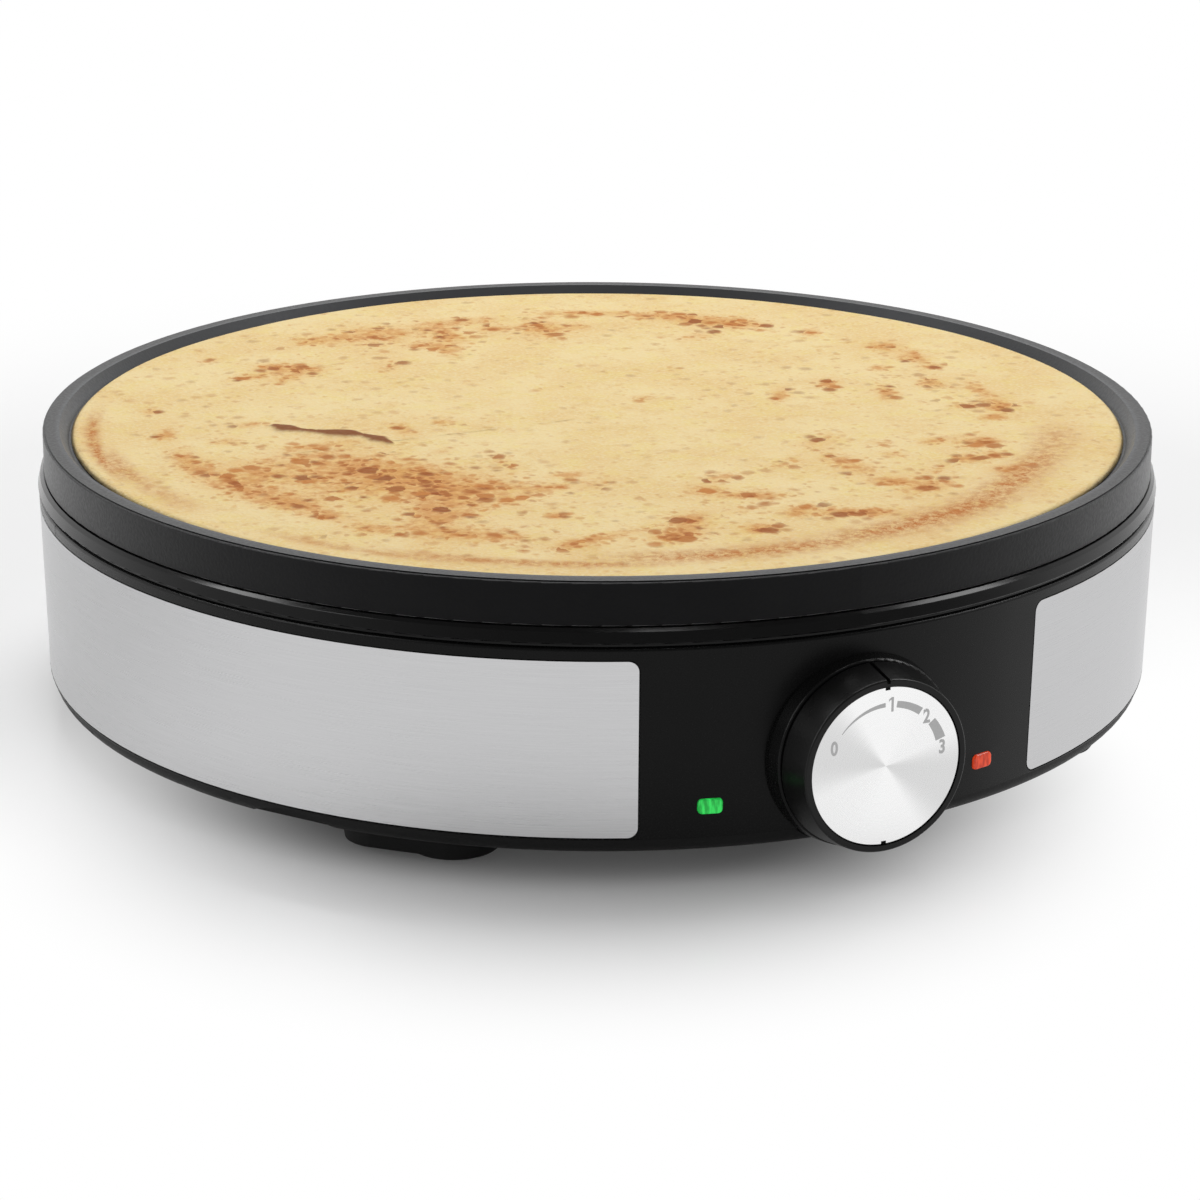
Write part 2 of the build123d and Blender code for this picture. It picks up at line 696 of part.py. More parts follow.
def rear_housing():
    """Rear shell with a flat round seat for the cord gland."""
    shell = housing_shell(seam_azimuth, 360 - seam_azimuth,
                          [a for a in tray_screw_azimuths if seam_azimuth < a < 360 - seam_azimuth])
    back = outward(180, gland_height)
    seat = Pos(0, 0, boss_back) * Cylinder(gland_seat_radius, gland_seat - boss_back, align=BASE)
    seat = fillet(seat.edges().group_by(Axis.Z)[-1], boss_edge)
    hole = Pos(0, 0, boss_back - 5) * Cylinder(gland_radius + slip_gap, 30, align=BASE)
    return shell + back * seat - back * hole


def seam_screws():
    """Two screws that pull the shells together from inside."""
    driven = Pos(0, 0, -lug_width - seam_gap / 2) * screw(
        small_screw_radius, 2 * lug_width - 2, small_head_radius, small_head_height)
    return group([seam_axis(seam_azimuth) * driven,
                  seam_axis(-seam_azimuth) * Rot(180, 0, 0) * driven])


def trim_ring():
    """Glossy ring that carries the bevel under the plate and snaps into the flange."""
    inner = ring_radius - ring_width
    ring = turned([
        (inner, housing_top), (ring_radius - groove_depth, housing_top),
        (ring_radius - groove_depth, housing_top + groove_height),
        (ring_radius, housing_top + groove_height),
        (ring_radius - ring_lean, ring_top - ring_bevel),
        (ring_radius - ring_lean - ring_bevel, ring_top), (inner, ring_top)])
    corner = [edge for edge in ring.edges().filter_by(GeomType.CIRCLE)
              if edge.radius > ring_radius - ring_lean - ring_bevel - 0.01]
    ring = fillet(corner, ring_round)
    studs = []
    for azimuth in stud_azimuths():
        stud = column(stud_radius, housing_top - flange_thickness - stud_hook, housing_top + 1)
        hook = column(stud_radius + stud_hook / 4, housing_top - flange_thickness - stud_hook,
                      housing_top - flange_thickness - slip_gap)
        studs.append(stud_place(azimuth) * (stud + chamfer(hook.edges().group_by(Axis.Z)[0], 0.4)))
    return ring.fuse(*studs)


def steel_panel(side):
    """Brushed steel cover over one side, with tongues through the wall."""
    slab = panel_slab(side, 0, panel_thickness, 0)
    return slab.fuse(*tabs(side, 0))


# ---- Base tray, legs and feet ---------------------------------------------------------------
tray_screw_seat = tray_bottom + head_sink
tray_screw_top = tray_screw_seat + tray_screw_length
pillar_seat = tray_bottom + plate_head_height + 1
pillar_low = tray_top + pillar_boss_height
leg_bottom = tray_bottom - leg_depth
leg_floor = leg_bottom + foot_sink + leg_wall
foot_hole_top = leg_bottom + foot_sink + foot_stud_length


def base_tray():
    """Moulded tray with a rounded lip, a spigot inside the wall, four legs, bosses and vents."""
    spigot = wall_inner - fit_gap
    tray = turned([
        (0, tray_bottom), (lip_radius, tray_bottom), (lip_radius, housing_bottom),
        (spigot, housing_bottom), (spigot, tray_top + spigot_height),
        (spigot - spigot_wall, tray_top + spigot_height), (spigot - spigot_wall, tray_top),
        (0, tray_top)])
    corner = [edge for edge in tray.edges().filter_by(GeomType.CIRCLE)
              if abs(edge.radius - lip_radius) < 0.01 and edge.center().Z < tray_bottom + 0.1]
    tray = fillet(corner, lip_round)
    clear = [spot(a, tray_boss_ring) * column(screw_boss_radius + fit_gap, boss_low, tray_top + 20)
             for a in tray_screw_azimuths]
    clear.append(dial * Pos(0, 0, boss_back - fit_gap) * Cylinder(boss_radius + fit_gap, 20, align=BASE))
    clear += [outward(azimuth, arch_centre()) * Pos(0, 0, lip_radius - notch_depth) * Cylinder(arch_radius(), 10, align=BASE)
              for azimuth in notch_azimuths]
    tray = tray.cut(*clear)
    seats = [spot(a, tray_boss_ring) * column(screw_boss_radius + 1, tray_top - 1, boss_low)
             & column(spigot, tray_top - 1, boss_low) for a in tray_screw_azimuths]
    bosses = [spot(a, pillar_pitch_radius) * column(pillar_boss_radius, tray_bottom, pillar_low)
              for a in pillar_azimuths]
    tray = tray.fuse(*seats, *bosses, *[leg(a) for a in leg_azimuths], *clamp_posts(), *terminal_posts())
    tray = tray.cut(*[leg_hollow(a) for a in leg_azimuths])
    tray = tray.fuse(*[spot(a, leg_pitch_radius) * column(foot_stud_radius + leg_wall, leg_floor - 1, foot_hole_top + 1)
                       for a in foot_azimuths])
    holes = [spot(a, pillar_pitch_radius) * column(plate_screw_radius + clear_hole, tray_bottom - 1, pillar_low + 1)
             for a in pillar_azimuths]
    holes += [spot(a, pillar_pitch_radius) * column(plate_head_radius + clear_hole, tray_bottom - 1, pillar_seat)
              for a in pillar_azimuths]
    holes += [spot(a, tray_boss_ring) * column(tray_screw_radius + clear_hole, tray_bottom - 1, boss_low + 1)
              for a in tray_screw_azimuths]
    holes += [spot(a, tray_boss_ring) * column(tray_head_radius + clear_hole, tray_bottom - 1, tray_screw_seat)
              for a in tray_screw_azimuths]
    holes += [spot(a, leg_pitch_radius) * column(foot_radius + slip_gap, leg_bottom - 1, leg_bottom + foot_sink)
              for a in foot_azimuths]
    holes += [spot(a, leg_pitch_radius) * column(foot_stud_radius, leg_bottom, foot_hole_top)
              for a in foot_azimuths]
    vent = extrude(SlotOverall(vent_length, vent_width), tray_floor + 2)
    holes += [Rot(0, 0, turn * 360 / vent_count) * Pos(vent_pitch_radius, 0, tray_bottom - 1) * vent
              for turn in range(vent_count)]
    holes += [Pos(x, y, 0) * column(small_screw_radius + hole_gap, tray_top, top + 1)
              for x, y, top in clamp_screw_places() + terminal_screw_places()]
    return tray.cut(*holes)


def arch_radius():
    """Radius of the arch whose chord is the notch's width and whose rise is the notch's height."""
    return (notch_width ** 2 / 4 + notch_rise ** 2) / (2 * notch_rise)


def arch_centre():
    return tray_bottom + notch_rise - arch_radius()


def leg(azimuth):
    """Drafted moulded leg under the tray."""
    outline = RectangleRounded(leg_span, leg_reach, leg_corner)
    solid = extrude(outline, leg_depth, taper=leg_draft)
    solid = Rot(180, 0, 0) * solid
    return spot(azimuth, leg_pitch_radius, tray_bottom) * solid


def leg_hollow(azimuth):
    """The room inside a leg, open to the inside of the tray."""
    inset = 2 * (leg_wall + leg_depth * sin(radians(leg_draft)))
    outline = RectangleRounded(leg_span - inset, leg_reach - inset, leg_corner - inset / 2)
    return spot(azimuth, leg_pitch_radius, leg_floor) * extrude(outline, tray_top - leg_floor + 1)


def foot_pads():
    """Rubber feet with a stud that pushes into the leg."""
    pad = column(foot_radius, 0, foot_proud + foot_sink)
    pad = fillet(pad.edges().group_by(Axis.Z)[0], foot_edge)
    pad = pad + column(foot_stud_radius - hole_gap, foot_proud + 1,
                       foot_hole_top - 0.5)
    return group(spot(azimuth, leg_pitch_radius) * pad for azimuth in foot_azimuths)


def tray_screws():
    driven = Pos(0, 0, tray_screw_seat) * screw(
        tray_screw_radius, tray_screw_length, tray_head_radius, tray_head_height)
    return group(spot(azimuth, tray_boss_ring) * driven for azimuth in tray_screw_azimuths)


def pillars():
    """Steel tubes that carry the plate and the shield on the tray."""
    tube = column(pillar_radius, pillar_low, shield_under)
    tube = tube - column(plate_screw_radius + clear_hole, pillar_low - 1, shield_under + 1)
    return group(spot(azimuth, pillar_pitch_radius) * tube for azimuth in pillar_azimuths)


def plate_screws():
    length = shield_top + plate_screw_bite - pillar_seat
    driven = Pos(0, 0, pillar_seat) * screw(plate_screw_radius, length, plate_head_radius, plate_head_height)
    return group(spot(azimuth, pillar_pitch_radius) * driven for azimuth in pillar_azimuths)


# ---- Thermostat and dial --------------------------------------------------------------------
def along(outline):
    """Revolves an (r, distance from the plate's axis) outline about the dial's axis."""
    return dial * revolve(Plane.XZ * make_face(Polyline(*outline, close=True)), Axis.Z, 360)


def thermostat_bracket():
    plate = extrude(RectangleRounded(bracket_length, bracket_height, 3), bracket_thickness)
    holes = [Pos(side * bracket_pitch / 2, 0) * Cylinder(small_screw_radius + hole_gap, 10)
             for side in (-1, 1)]
    holes.append(Cylinder(bush_radius + hole_gap, 10))
    return dial * Pos(0, 0, thermostat_front + bush_flange) * plate.cut(*holes)


def thermostat_bush():
    bore = shaft_radius + running_gap
    return along([
        (bore, thermostat_front), (bush_flange_radius, thermostat_front),
        (bush_flange_radius, thermostat_front + bush_flange), (bush_radius, thermostat_front + bush_flange),
        (bush_radius, boss_face - slip_gap), (bore, boss_face - slip_gap)])


def thermostat_body():
    """Moulded switch body with a round metal diaphragm at the back and four blades."""
    body = extrude(RectangleRounded(thermostat_width, thermostat_height, 2), -thermostat_depth)
    cup = Pos(0, 0, -thermostat_depth - diaphragm_depth) * Cylinder(diaphragm_radius, diaphragm_depth + 1, align=BASE)
    cup = fillet(cup.edges().group_by(Axis.Z)[0], 1.0)
    blades = [Pos(side * (thermostat_width / 2 + 3), 0, level)
              * Box(blade_length, blade_width, blade_thickness)
              for side in (-1, 1) for level in (-thermostat_depth * 0.4, -thermostat_depth * 0.75)]
    whole = joined([body, cup] + blades)
    whole = whole - Pos(0, 0, -shaft_tail - slip_gap) * Cylinder(shaft_radius + clear_hole, 20, align=BASE)
    return dial * Pos(0, 0, thermostat_front) * whole


def thermostat_screws():
    driven = Rot(180, 0, 0) * screw(small_screw_radius, boss_floor + bracket_thickness,
                                    small_head_radius, small_head_height)
    seat = boss_face - small_head_height - slip_gap
    return group(dial * Pos(side * bracket_pitch / 2, 0, seat) * driven for side in (-1, 1))


knob_back = boss_face + dial_gap
knob_front = knob_face + knob_lip
disc_seat = knob_face - disc_thickness
web_back = disc_seat - knob_web
hub_back = knob_back + 1
shaft_end = web_back - slip_gap


def thermostat_shaft():
    """Round shaft with a D flat over the length that the dial holds."""
    shaft = Pos(0, 0, thermostat_front - shaft_tail) * Cylinder(
        shaft_radius, shaft_end - thermostat_front + shaft_tail, align=BASE)
    shaft = chamfer(shaft.edges().group_by(Axis.Z)[-1], 0.4)
    flat = Pos(0, shaft_radius - shaft_flat, knob_back) * Box(
        2 * shaft_radius, 2 * shaft_radius, 20, align=(Align.CENTER, Align.MIN, Align.MIN))
    return dial * (shaft - flat)


def knob_body():
    """Moulded dial: tapered skirt, web, hub with a D bore, ribs, and a pointer groove on top."""
    skirt = Plane.XZ * make_face(Polyline(
        (0, knob_back), (knob_back_radius, knob_back), (knob_front_radius, knob_front),
        (disc_radius + slip_gap, knob_front), (disc_radius + slip_gap, disc_seat),
        (0, disc_seat), close=True))
    skirt = revolve(skirt, Axis.Z, 360)
    rim = [edge for edge in skirt.edges().filter_by(GeomType.CIRCLE)
           if edge.radius > knob_front_radius - 0.1]
    skirt = fillet(rim, knob_edge)
    hollow = Plane.XZ * make_face(Polyline(
        (0, knob_back - 1), (knob_back_radius - knob_wall, knob_back - 1),
        (knob_front_radius - knob_wall, web_back), (0, web_back), close=True))
    body = skirt - revolve(hollow, Axis.Z, 360)
    hub = Pos(0, 0, hub_back) * Cylinder(knob_hub_radius, web_back - hub_back + 1, align=BASE)
    reach = knob_front_radius - knob_wall / 2 - knob_hub_radius / 2
    rib = Box(1.2, reach, web_back - hub_back - 2, align=(Align.CENTER, Align.MIN, Align.MAX))
    ribs = [Rot(0, 0, (turn + 0.5) * 360 / knob_rib_count) * Pos(0, knob_hub_radius / 2, web_back + 0.5) * rib
            for turn in range(knob_rib_count)]
    body = body.fuse(hub, *ribs)
    bore = Pos(0, 0, hub_back - 1) * Cylinder(shaft_radius + hole_gap, web_back - hub_back + 1, align=BASE)
    key = Pos(0, shaft_radius - shaft_flat + spring_thickness + 2 * hole_gap, 0) * Box(
        4 * shaft_radius, 4 * shaft_radius, 400, align=(Align.CENTER, Align.MIN, Align.CENTER))
    body = body - (bore - key)
    groove = Pos(0, knob_back_radius, knob_back) * Rot(knob_lean(), 0, 0) * Box(
        knob_groove, 2 * knob_groove, 4 * (knob_front - knob_back))
    return dial * (body - groove)


def knob_lean():
    """Slope of the skirt, in degrees, for what runs along it."""
    rise = (knob_back_radius - knob_front_radius) / (knob_front - knob_back)
    return degrees(rise)


def knob_disc():
    """Spun metal disc in the dial's face, with a small notch at the top and the bottom."""
    disc = Pos(0, 0, disc_seat) * Cylinder(disc_radius, disc_thickness, align=BASE)
    disc = chamfer(disc.edges().group_by(Axis.Z)[-1], 0.3)
    notches = [Pos(0, side * disc_radius, disc_seat) * Box(1.4, 2.0, 4) for side in (-1, 1)]
    return dial * disc.cut(*notches)


def knob_spring():
    """Leaf spring between the shaft's flat and the hub's."""
    low = shaft_radius - shaft_flat + hole_gap
    leaf = Pos(0, low, hub_back + 0.5) * Box(
        shaft_radius, spring_thickness, shaft_end - hub_back - 1, align=(Align.CENTER, Align.MIN, Align.MIN))
    return dial * leaf


# ---- Pilot lamps ----------------------------------------------------------------------------
def lamp_place(side):
    return outward(side * lamp_azimuth, lamp_height)


def lens(side):
    """Coloured lens that fills its window, with a flange behind the wall."""
    face = wall_radius(lamp_height) + lens_proud
    stem = Pos(0, 0, lens_back) * extrude(RectangleRounded(lens_width, lens_height, lens_corner),
                                          face - lens_back)
    stem = fillet(stem.edges().group_by(Axis.Z)[-1], 0.5)
    flange = Pos(0, 0, lens_back) * extrude(
        RectangleRounded(lens_width + 2 * lens_flange, lens_height + 2 * lens_flange, lens_corner),
        lens_flange_thickness)
    return lamp_place(side) * (stem + flange)


half_flange = lens_width / 2 + lens_flange
lens_back = (wall_inner ** 2 - half_flange ** 2) ** 0.5 - slip_gap - lens_flange_thickness


def lamp_holders():
    """Moulded sockets that stand on the tray behind the lenses."""
    front = lens_back - slip_gap
    box = Pos(0, 0, front - holder_depth) * extrude(
        RectangleRounded(holder_width, holder_height, 1.2), holder_depth)
    foot = Pos(0, 0, front - holder_depth) * Box(
        holder_width * 0.6, lamp_height - tray_top, holder_depth * 0.5,
        align=(Align.CENTER, Align.MAX, Align.MIN))
    holder = box + foot - Pos(0, 0, front - neon_length) * Cylinder(holder_bore, 20, align=BASE)
    return group(lamp_place(side) * holder for side in (-1, 1))


def neon_lamps():
    front = lens_back - slip_gap
    bulb = Pos(0, 0, front - neon_length) * Cylinder(neon_radius, neon_length - 0.5, align=BASE)
    bulb = fillet(bulb.edges().group_by(Axis.Z)[-1], neon_radius * 0.8)
    return group(lamp_place(side) * bulb for side in (-1, 1))


# ---- Mains entry ----------------------------------------------------------------------------
clamp_top = gland_height + gland_bore - clamp_bite
clamp_saddle = gland_height - gland_bore


def clamp_screw_places():
    return [(side * clamp_pitch / 2, clamp_radius_from_axis, clamp_top) for side in (-1, 1)]


def clamp_posts():
    """Two posts and the saddle between them, moulded on the tray in line with the gland."""
    posts = [Pos(x, y, 0) * column(clamp_post_radius, tray_top - 1, top) for x, y, top in clamp_screw_places()]
    saddle = Pos(0, clamp_radius_from_axis, tray_top - 1) * Box(
        clamp_pitch, clamp_bar_width * 0.6, clamp_saddle - tray_top + 1, align=BASE)
    return posts + [saddle]


def cord_clamp():
    bar = extrude(RectangleRounded(clamp_pitch + 2 * clamp_post_radius, clamp_bar_width, 3), clamp_bar_thickness)
    holes = [Pos(side * clamp_pitch / 2, 0, 0) * Cylinder(small_screw_radius + clear_hole, 20)
             for side in (-1, 1)]
    return Pos(0, clamp_radius_from_axis, clamp_top) * bar.cut(*holes)


def downward_screw(x, y, seat):
    return Pos(x, y, seat) * Rot(180, 0, 0) * screw(
        small_screw_radius, clamp_screw_length, small_head_radius, small_head_height)


def clamp_screws():
    return group(downward_screw(x, y, top + clamp_bar_thickness) for x, y, top in clamp_screw_places())


def terminal_screw_places():
    top = tray_top + terminal_post_height
    half = terminal_length / 2 - small_head_radius - 0.5
    return [(-terminal_x + side * half, terminal_y, top) for side in (-1, 1)]


def terminal_posts():
    return [Pos(x, y, 0) * column(clamp_post_radius, tray_top - 1, top) for x, y, top in terminal_screw_places()]


def terminal_block():
    """Three-way block with through bores for the wires and a screw well over each."""
    base = tray_top + terminal_post_height
    ears = extrude(RectangleRounded(terminal_length, terminal_width * 0.6, 2), terminal_ear)
    body_length = terminal_length - 4 * small_head_radius - 2
    body = Box(body_length, terminal_width, terminal_height, align=BASE)
    body = fillet(body.edges().filter_by(Axis.Z), 1.0)
    way = body_length / terminal_ways
    cuts = []
    for turn in range(terminal_ways):
        x = (turn - (terminal_ways - 1) / 2) * way
        cuts.append(Pos(x, 0, terminal_height * 0.4) * Rot(90, 0, 0) * Cylinder(terminal_bore, terminal_width + 2))
        cuts.append(Pos(x, 0, terminal_height * 0.5) * Cylinder(terminal_bore, terminal_height, align=BASE))
    half = terminal_length / 2 - small_head_radius - 0.5
    cuts += [Pos(side * half, 0, 0) * Cylinder(small_screw_radius + clear_hole, 20) for side in (-1, 1)]
    return Pos(-terminal_x, terminal_y, base) * (ears + body).cut(*cuts)


def terminal_screws():
    return group(downward_screw(x, y, top + terminal_ear) for x, y, top in terminal_screw_places())


def cord_gland():
    """Moulded bush in the rear wall, open for a round mains cord."""
    inner = boss_back - gland_hook
    outline = Plane.XZ * make_face(Polyline(
        (gland_bore, inner - gland_tail), (gland_bore + 1.6, inner - gland_tail),
        (gland_radius + 1.0, inner), (gland_radius + 1.0, boss_back - slip_gap),
        (gland_radius, boss_back - slip_gap), (gland_radius, gland_seat + slip_gap),
        (gland_flange_radius, gland_seat + slip_gap), (gland_flange_radius, gland_seat + gland_flange),
        (gland_bore, gland_seat + gland_flange), close=True))
    gland = revolve(outline, Axis.Z, 360)
    return outward(180, gland_height) * gland


# ---- Nodes ----------------------------------------------------------------------------------
NODES = {
    "crepe": crepe,
    "baking_plate": baking_plate,
    "heating_element": heating_element,
    "element_beads": element_beads,
    "element_blades": element_blades,
    "element_clips": element_clips,
    "clip_screws": clip_screws,
    "heat_shield": heat_shield,
    "sensor_bulb": sensor_bulb,
    "bulb_saddles": bulb_saddles,
    "saddle_screws": saddle_screws,
    "capillary_tube": capillary,
    "thermal_cutout": thermal_cutout,
    "cutout_screws": cutout_screws,
    "front_housing": front_housing,
    "rear_housing": rear_housing,
    "seam_screws": seam_screws,
    "trim_ring": trim_ring,
    "left_panel": lambda: steel_panel(-1),
    "right_panel": lambda: steel_panel(1),
    "base_tray": base_tray,
    "foot_pads": foot_pads,
    "tray_screws": tray_screws,
    "pillars": pillars,
    "plate_screws": plate_screws,
    "thermostat_bracket": thermostat_bracket,
    "thermostat_bush": thermostat_bush,
    "thermostat_body": thermostat_body,
    "thermostat_screws": thermostat_screws,
    "thermostat_shaft": thermostat_shaft,
    "knob_body": knob_body,
    "knob_disc": knob_disc,
    "knob_spring": knob_spring,
    "green_lens": lambda: lens(-1),
    "red_lens": lambda: lens(1),
    "lamp_holders": lamp_holders,
    "neon_lamps": neon_lamps,
    "cord_clamp": cord_clamp,
    "clamp_screws": clamp_screws,
    "terminal_block": terminal_block,
    "terminal_screws": terminal_screws,
    "cord_gland": cord_gland,
}


def main():
    os.makedirs("parts", exist_ok=True)
    for name, make in NODES.items():
        export_step(make(), f"parts/{name}.step")


main()
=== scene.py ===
# %% [markdown]
# # An electric crepe maker
# The body, its panels, its dial and every part inside come from a CAD model, in metres and in
# their real places. This lesson adds what CAD leaves out: the crepe with its browned freckles,
# the figures on the dial, and the finish of each material. Nothing that is added may make the
# object bigger.

# %% The frame
import math
import bmesh
import bpy
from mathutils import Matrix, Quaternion, Vector


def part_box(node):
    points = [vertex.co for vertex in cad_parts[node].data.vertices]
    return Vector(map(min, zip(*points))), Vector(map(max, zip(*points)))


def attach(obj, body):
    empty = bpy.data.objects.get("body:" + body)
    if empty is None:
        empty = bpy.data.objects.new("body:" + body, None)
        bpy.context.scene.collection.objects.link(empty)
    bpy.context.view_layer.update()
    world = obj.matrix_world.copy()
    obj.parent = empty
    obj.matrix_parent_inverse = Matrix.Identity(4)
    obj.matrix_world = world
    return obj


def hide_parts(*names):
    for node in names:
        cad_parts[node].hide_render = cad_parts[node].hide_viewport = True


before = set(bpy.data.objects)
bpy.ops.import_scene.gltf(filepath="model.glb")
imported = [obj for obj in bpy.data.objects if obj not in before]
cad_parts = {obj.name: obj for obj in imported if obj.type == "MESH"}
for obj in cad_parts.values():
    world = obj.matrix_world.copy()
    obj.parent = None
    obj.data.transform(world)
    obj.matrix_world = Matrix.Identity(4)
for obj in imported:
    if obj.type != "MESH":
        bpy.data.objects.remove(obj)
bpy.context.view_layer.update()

# %% [markdown]
# Colours are written as sRGB hex values, as a colour picker shows them. Blender mixes light in
# linear values, so one function turns them over. One more function adds a node of any kind, sets
# its properties and fills or links its inputs, and every tree here is built with it. An input takes
# a number, a hex colour, an output or a whole node, which stands for the first output it has in use.

# %% Colour and node helpers
def linear(hex_colour):
    parts = [int(hex_colour[i:i + 2], 16) / 255 for i in (1, 3, 5)]
    return tuple(c / 12.92 if c <= 0.04045 else ((c + 0.055) / 1.055) ** 2.4 for c in parts) + (1.0,)


def in_use(sockets, name=None):
    """The first socket, or the first of that name, that the node's settings leave in use."""
    return next(socket for socket in sockets if socket.enabled and name in (None, socket.name))


def add(tree, kind, sockets=None, **settings):
    new = tree.nodes.new(kind)
    for name, value in settings.items():
        setattr(new, name, value)
    for name, value in (sockets or {}).items():
        socket = new.inputs[name] if isinstance(name, int) else in_use(new.inputs, name)
        if isinstance(value, bpy.types.Node):
            value = in_use(value.outputs)
        if isinstance(value, bpy.types.NodeSocket):
            tree.links.new(value, socket)
        else:
            socket.default_value = linear(value) if isinstance(value, str) else value
    return new


def finish_named(name):
    material = bpy.data.materials.new(name)
    material.use_nodes = True
    material.node_tree.nodes.clear()
    return material, material.node_tree


print("white is", linear("#FFFFFF"))

# %% [markdown]
# The camera stands in front and a little to the left, as high as a standing cook's eyes would be
# over a low table. A long lens keeps the round body from looking stretched. The camera comes
# first, so that every piece can be judged through it.

# %% Camera
camera_place = Vector((-0.4312, -0.9269, 0.3640))
camera_target = Vector((0.00086, -0.00040, 0.0238))
camera_roll = math.radians(0.27)
lens_length, sensor_width = 112.75, 36  # millimetres
camera = bpy.data.objects.new("camera", bpy.data.cameras.new("camera"))
camera.data.lens = lens_length
camera.data.sensor_width = sensor_width
camera.location = camera_place
camera.rotation_mode = "QUATERNION"
camera.rotation_quaternion = ((camera_target - camera_place).to_track_quat("-Z", "Y")
                              @ Quaternion((0, 0, 1), camera_roll))
bpy.context.collection.objects.link(camera)
bpy.context.scene.camera = camera
print("camera", round((camera_target - camera_place).length, 3), "m away")

# %% [markdown]
# The object stands on a pale table in a bright studio. The table is white laminate, pressed smooth:
# diffuse, with a faint gloss that mirrors the feet. To the camera and to mirrors it is a touch
# lighter than it is to the light that bounces off it.

# %% Floor
floor_half = 6.0
corners = [(x * floor_half, y * floor_half, 0) for x, y in ((-1, -1), (1, -1), (1, 1), (-1, 1))]
floor_mesh = bpy.data.meshes.new("floor")
floor_mesh.from_pydata(corners, [], [(0, 1, 2, 3)])
floor = bpy.data.objects.new("floor", floor_mesh)
bpy.context.collection.objects.link(floor)
print("floor", 2 * floor_half, "m wide")

# %% White laminate
gloss_share, gloss_roughness = 0.05, 0.12
laminate, tree = finish_named("pressed_white_laminate")
ray = add(tree, "ShaderNodeLightPath")
looked_at = add(tree, "ShaderNodeMath", {
    0: ray.outputs["Is Camera Ray"], 1: ray.outputs["Is Glossy Ray"]}, operation="MAXIMUM")
seen = add(tree, "ShaderNodeMix", {"Factor": looked_at, "A": "#E6E6E6", "B": "#F0F0F0"}, data_type="RGBA")
paint = add(tree, "ShaderNodeBsdfDiffuse", {"Color": seen})
sheen = add(tree, "ShaderNodeBsdfGlossy", {"Roughness": gloss_roughness, "Color": "#FFFFFF"})
table = add(tree, "ShaderNodeMixShader", {0: gloss_share, 1: paint, 2: sheen})
floor_mesh.materials.append(laminate)
print("laminate mirrors", gloss_share)

# %% [markdown]
# Away from the object the floor fades to plain white, as a studio's curved sweep does, and painted
# light lifts its deepest shadow, so that it is never quite black. The shadow lies in front, on the
# side away from the main light, so the near fade is measured from a point there: it is painted light,
# white emission that wipes the real shadow out at the sides. It is held back behind the object, where
# a soft shadow stays too. A second, wider fade runs all round and ends in pure white.

# %% The sweep to white, and painted light on the floor's shadow
shadow_middle = (-0.045, -0.080, 0.0)
# where the painted light near the shadow starts and is full, and how much it lifts the deepest shadow
near_start, near_end, painted_shadow_lift = 0.06, 0.165, 0.04
held_front, held_back, held_level = -0.08, 0.08, 0.35
far_start, far_end = 0.18, 0.5
on_table = add(tree, "ShaderNodeTexCoord").outputs["Object"]
from_shadow = add(tree, "ShaderNodeVectorMath", {0: on_table, 1: shadow_middle}, operation="DISTANCE")
# painted light: white emission lifts the floor's shadow at the sides and in its darkest part
near = add(tree, "ShaderNodeMapRange", {
    "Value": from_shadow, "From Min": near_start, "From Max": near_end, "To Min": painted_shadow_lift},
    interpolation_type="SMOOTHSTEP")
depth = add(tree, "ShaderNodeSeparateXYZ", {0: on_table}).outputs["Y"]
front = add(tree, "ShaderNodeMapRange", {
    "Value": depth, "From Min": held_front, "From Max": held_back, "To Min": 1.0, "To Max": held_level},
    interpolation_type="SMOOTHSTEP")
near = add(tree, "ShaderNodeMath", {0: near, 1: front}, operation="MULTIPLY")
from_axis = add(tree, "ShaderNodeVectorMath", {0: on_table}, operation="LENGTH")
far = add(tree, "ShaderNodeMapRange", {
    "Value": from_axis, "From Min": far_start, "From Max": far_end}, interpolation_type="SMOOTHSTEP")
# the wide fade is the white backdrop; the near one is painted light over the shadow
white_fade_and_painted_light = add(tree, "ShaderNodeMath", {0: far, 1: near}, operation="MAXIMUM")
seen_sweep = add(tree, "ShaderNodeMath", {0: white_fade_and_painted_light, 1: looked_at}, operation="MULTIPLY")
white = add(tree, "ShaderNodeEmission", {"Color": "#FFFFFF", "Strength": 1.0})
swept_table = add(tree, "ShaderNodeMixShader", {0: seen_sweep, 1: table, 2: white})
add(tree, "ShaderNodeOutputMaterial", {"Surface": swept_table})
print("pure white from", far_end, "m")

# %% [markdown]
# A world of even white light fills the studio. The camera sees plain white. Metal and gloss see a
# room: a white wall behind, a dark ceiling, and a darker side towards the camera, where nothing is
# lit. The dark parts are what give black plastic and steel their depth.

# %% World
fill_level, camera_side_level, ceiling_level = 0.47, 0.35, 0.3
world = bpy.data.worlds.new("studio")
bpy.context.scene.world = world
world.use_nodes = True
tree = world.node_tree
tree.nodes.clear()
